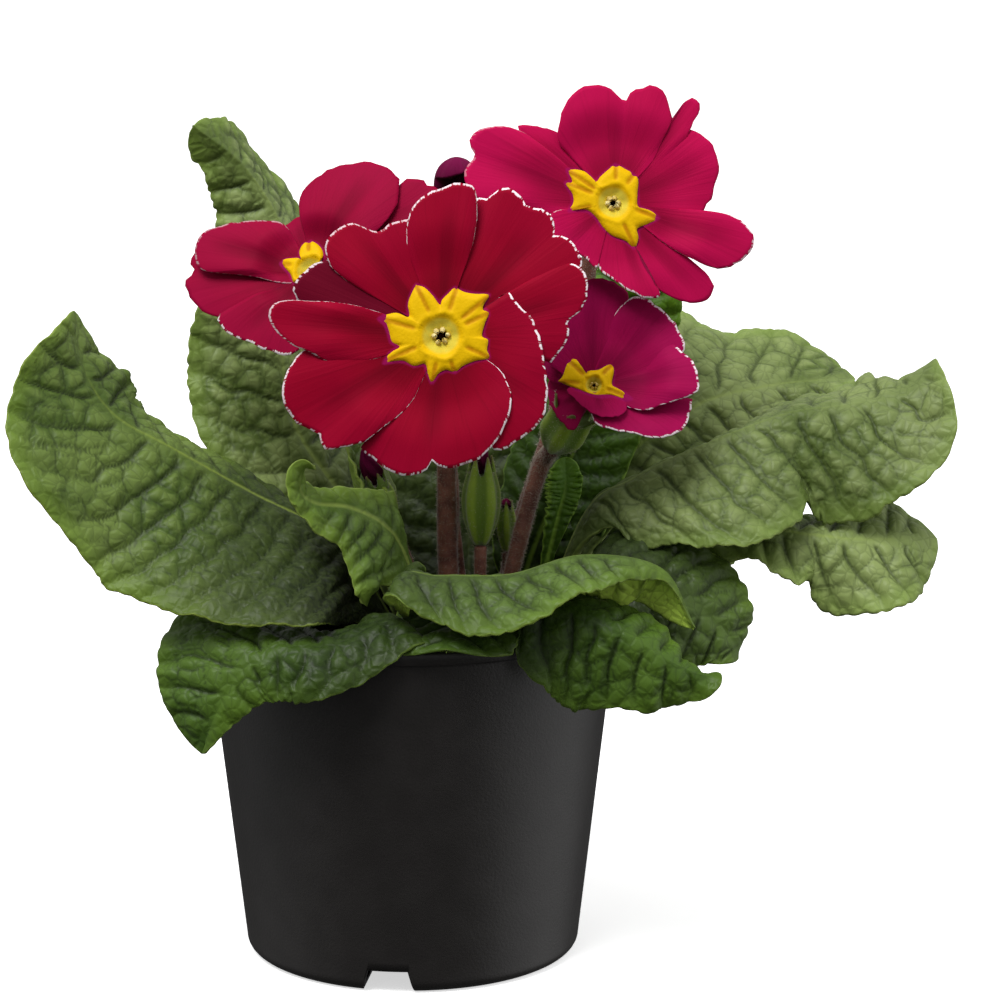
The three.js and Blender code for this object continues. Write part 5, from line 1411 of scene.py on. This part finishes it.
def make_pot():
    lip_foot = POT_HEIGHT - POT_LIP
    corner = wall_radius(FOOT_ROUNDING)
    mouth = POT_TOP_RADIUS - POT_WALL
    rounding = [
        (corner - FOOT_ROUNDING * (1 - math.sin(t)), FOOT_ROUNDING * (1 - math.cos(t)))
        for t in np.linspace(0, math.pi / 2, 9)
    ]
    walls = [(wall_radius(z), z) for z in np.linspace(FOOT_ROUNDING + 4, lip_foot - 0.5, 8)]
    lip = [
        (POT_TOP_RADIUS, lip_foot),
        (POT_LIP_RADIUS - 0.3, lip_foot + 0.1),
        (POT_LIP_RADIUS, lip_foot + 0.4),
        (POT_LIP_RADIUS, POT_HEIGHT - 0.5),
        (POT_LIP_RADIUS - 0.4, POT_HEIGHT),
        (mouth + 0.4, POT_HEIGHT),
        (mouth, POT_HEIGHT - 0.5),
        (mouth, lip_foot),
    ]
    inside = [(wall_radius(POT_FLOOR) - POT_WALL - 1, POT_FLOOR), (0, POT_FLOOR)]
    profile = [(0, 0), (CHANNEL_START, 0)] + rounding + walls + lip + inside
    pot = bare_object(revolve(profile, POT_SIDES), "pot_shell")
    for index in range(CHANNELS):
        cut_away(pot, channel_tool(index))
    pot.data.materials.append(POT)
    pot.data.shade_smooth()
    bpy.context.view_layer.objects.active = pot
    pot.select_set(True)
    bpy.ops.object.shade_auto_smooth(angle=math.radians(35))
    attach(pot, "root")
    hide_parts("pot")


make_pot()


def make_soil():
    """Peat with crumbs of bark, a little lower towards the wall."""
    rng = np.random.default_rng(5)
    outer = wall_radius(SOIL_TOP - 1) - POT_WALL - GAP
    turn = round_turn(SOIL_SIDES)
    ring = np.stack([np.cos(turn), np.sin(turn)], -1)
    bottom = ring * (wall_radius(SOIL_BOTTOM) - POT_WALL - GAP)
    loops = [np.column_stack([bottom, SOIL_BOTTOM + 0 * turn])]
    for k in range(SOIL_RINGS):
        share = 1 - k / SOIL_RINGS
        flat = ring * outer * share
        bumps = 0.7 * wander(flat[:, 0] * 0.4 + 9, 3) * wander(flat[:, 1] * 0.4, 4)
        bumps = np.clip(bumps + rng.normal(0, 0.25, SOIL_SIDES), -1.2, 1.0)
        top = SOIL_TOP - 1.2 - 1.5 * smoothstep((share - 0.8) / 0.2) + bumps
        loops.append(np.column_stack([flat, top]))
    shape = Shape()
    shape.add(np.vstack(loops), capped(len(loops), SOIL_SIDES))
    for _ in range(CRUMBS):
        angle = rng.uniform(0, 2 * math.pi)
        radius = outer * math.sqrt(rng.uniform(0, 0.93))
        size = rng.uniform(0.4, 1.4)
        spot = np.array([radius * math.cos(angle), radius * math.sin(angle), SOIL_TOP - 1.0])
        reach = unit(rng.normal(0, 1, 3)) * size * [1, 1, 0.35]
        path = spot + np.outer(np.linspace(-1, 1, len(CRUMB_RADII)), reach)
        crumb = tube(path, size * CRUMB_RADII, CRUMB_SIDES)
        crumb = crumb + rng.normal(0, 0.08 * size, crumb.shape)
        shape.add(crumb, capped(len(CRUMB_RADII), CRUMB_SIDES))
    shape.piece("peat", [SOIL], "soil", ["soil"])


make_soil()

# ------------------------------------------------------------------ floor and light

WHITE = (1.0, 1.0, 1.0, 1.0)
FLOOR = 6.0  # half of its side, in metres
SKY_ABOVE = 0.8
SKY_BELOW = 0.06
GLOW_RIGHT = 0.9
GLOW_LEFT = 0.25

floor_paint = Paint("floor", Roughness=0.9, Specular_IOR_Level=0.0, Emission_Strength=0.6)
floor_paint.shader.inputs["Emission Color"].default_value = WHITE
speckle = floor_paint.noise(floor_paint.place, 60.0)
floor_paint.finish(floor_paint.tint("f6f6f6", "fbfbfb", speckle, 0.2, 0.8))
floor_mesh = bpy.data.meshes.new("floor")
corners = [(-FLOOR, -FLOOR, 0), (FLOOR, -FLOOR, 0), (FLOOR, FLOOR, 0), (-FLOOR, FLOOR, 0)]
floor_mesh.from_pydata(corners, [], [(0, 1, 2, 3)])
floor_mesh.materials.append(floor_paint.material)
floor = bpy.data.objects.new("floor", floor_mesh)
floor.visible_diffuse = False
floor.visible_glossy = False
bpy.context.scene.collection.objects.link(floor)

# The sky is brighter above than below, with a soft panel at each side.
world = bpy.data.worlds.new("studio")
world.use_nodes = True
sky = world.node_tree
direction = sky.nodes.new("ShaderNodeSeparateXYZ")
sky.links.new(sky.nodes.new("ShaderNodeTexCoord").outputs["Generated"], direction.inputs[0])


def fade(axis, low, high, start, end):
    """From start to end as the view turns from low to high along an axis."""
    node = sky.nodes.new("ShaderNodeMapRange")
    for name, value in (("From Min", low), ("From Max", high), ("To Min", start), ("To Max", end)):
        node.inputs[name].default_value = value
    sky.links.new(direction.outputs[axis], node.inputs["Value"])
    return node


strength = fade("Z", -0.25, 0.9, SKY_BELOW, SKY_ABOVE).outputs[0]
for low, high, glow in ((0.55, 1.0, GLOW_RIGHT), (-0.55, -1.0, GLOW_LEFT)):
    panel = fade("X", low, high, 0.0, glow)
    panel.interpolation_type = "SMOOTHSTEP"
    total = sky.nodes.new("ShaderNodeMath")
    sky.links.new(strength, total.inputs[0])
    sky.links.new(panel.outputs[0], total.inputs[1])
    strength = total.outputs[0]
sky.links.new(strength, sky.nodes["Background"].inputs["Strength"])
sky.nodes["Background"].inputs["Color"].default_value = WHITE
bpy.context.scene.world = world

KEY_PLACE = np.array([-0.4, -0.65, 1.4])
key = bpy.data.lights.new("key", "AREA")
key.shape = "RECTANGLE"
key.size = 0.7
key.size_y = 0.7
key.energy = 20.0
lamp = bpy.data.objects.new("key", key)
lamp.location = KEY_PLACE
lamp.rotation_mode = "QUATERNION"
lamp.rotation_quaternion = Vector(TARGET * MM - KEY_PLACE).to_track_quat("-Z", "Y")
bpy.context.scene.collection.objects.link(lamp)
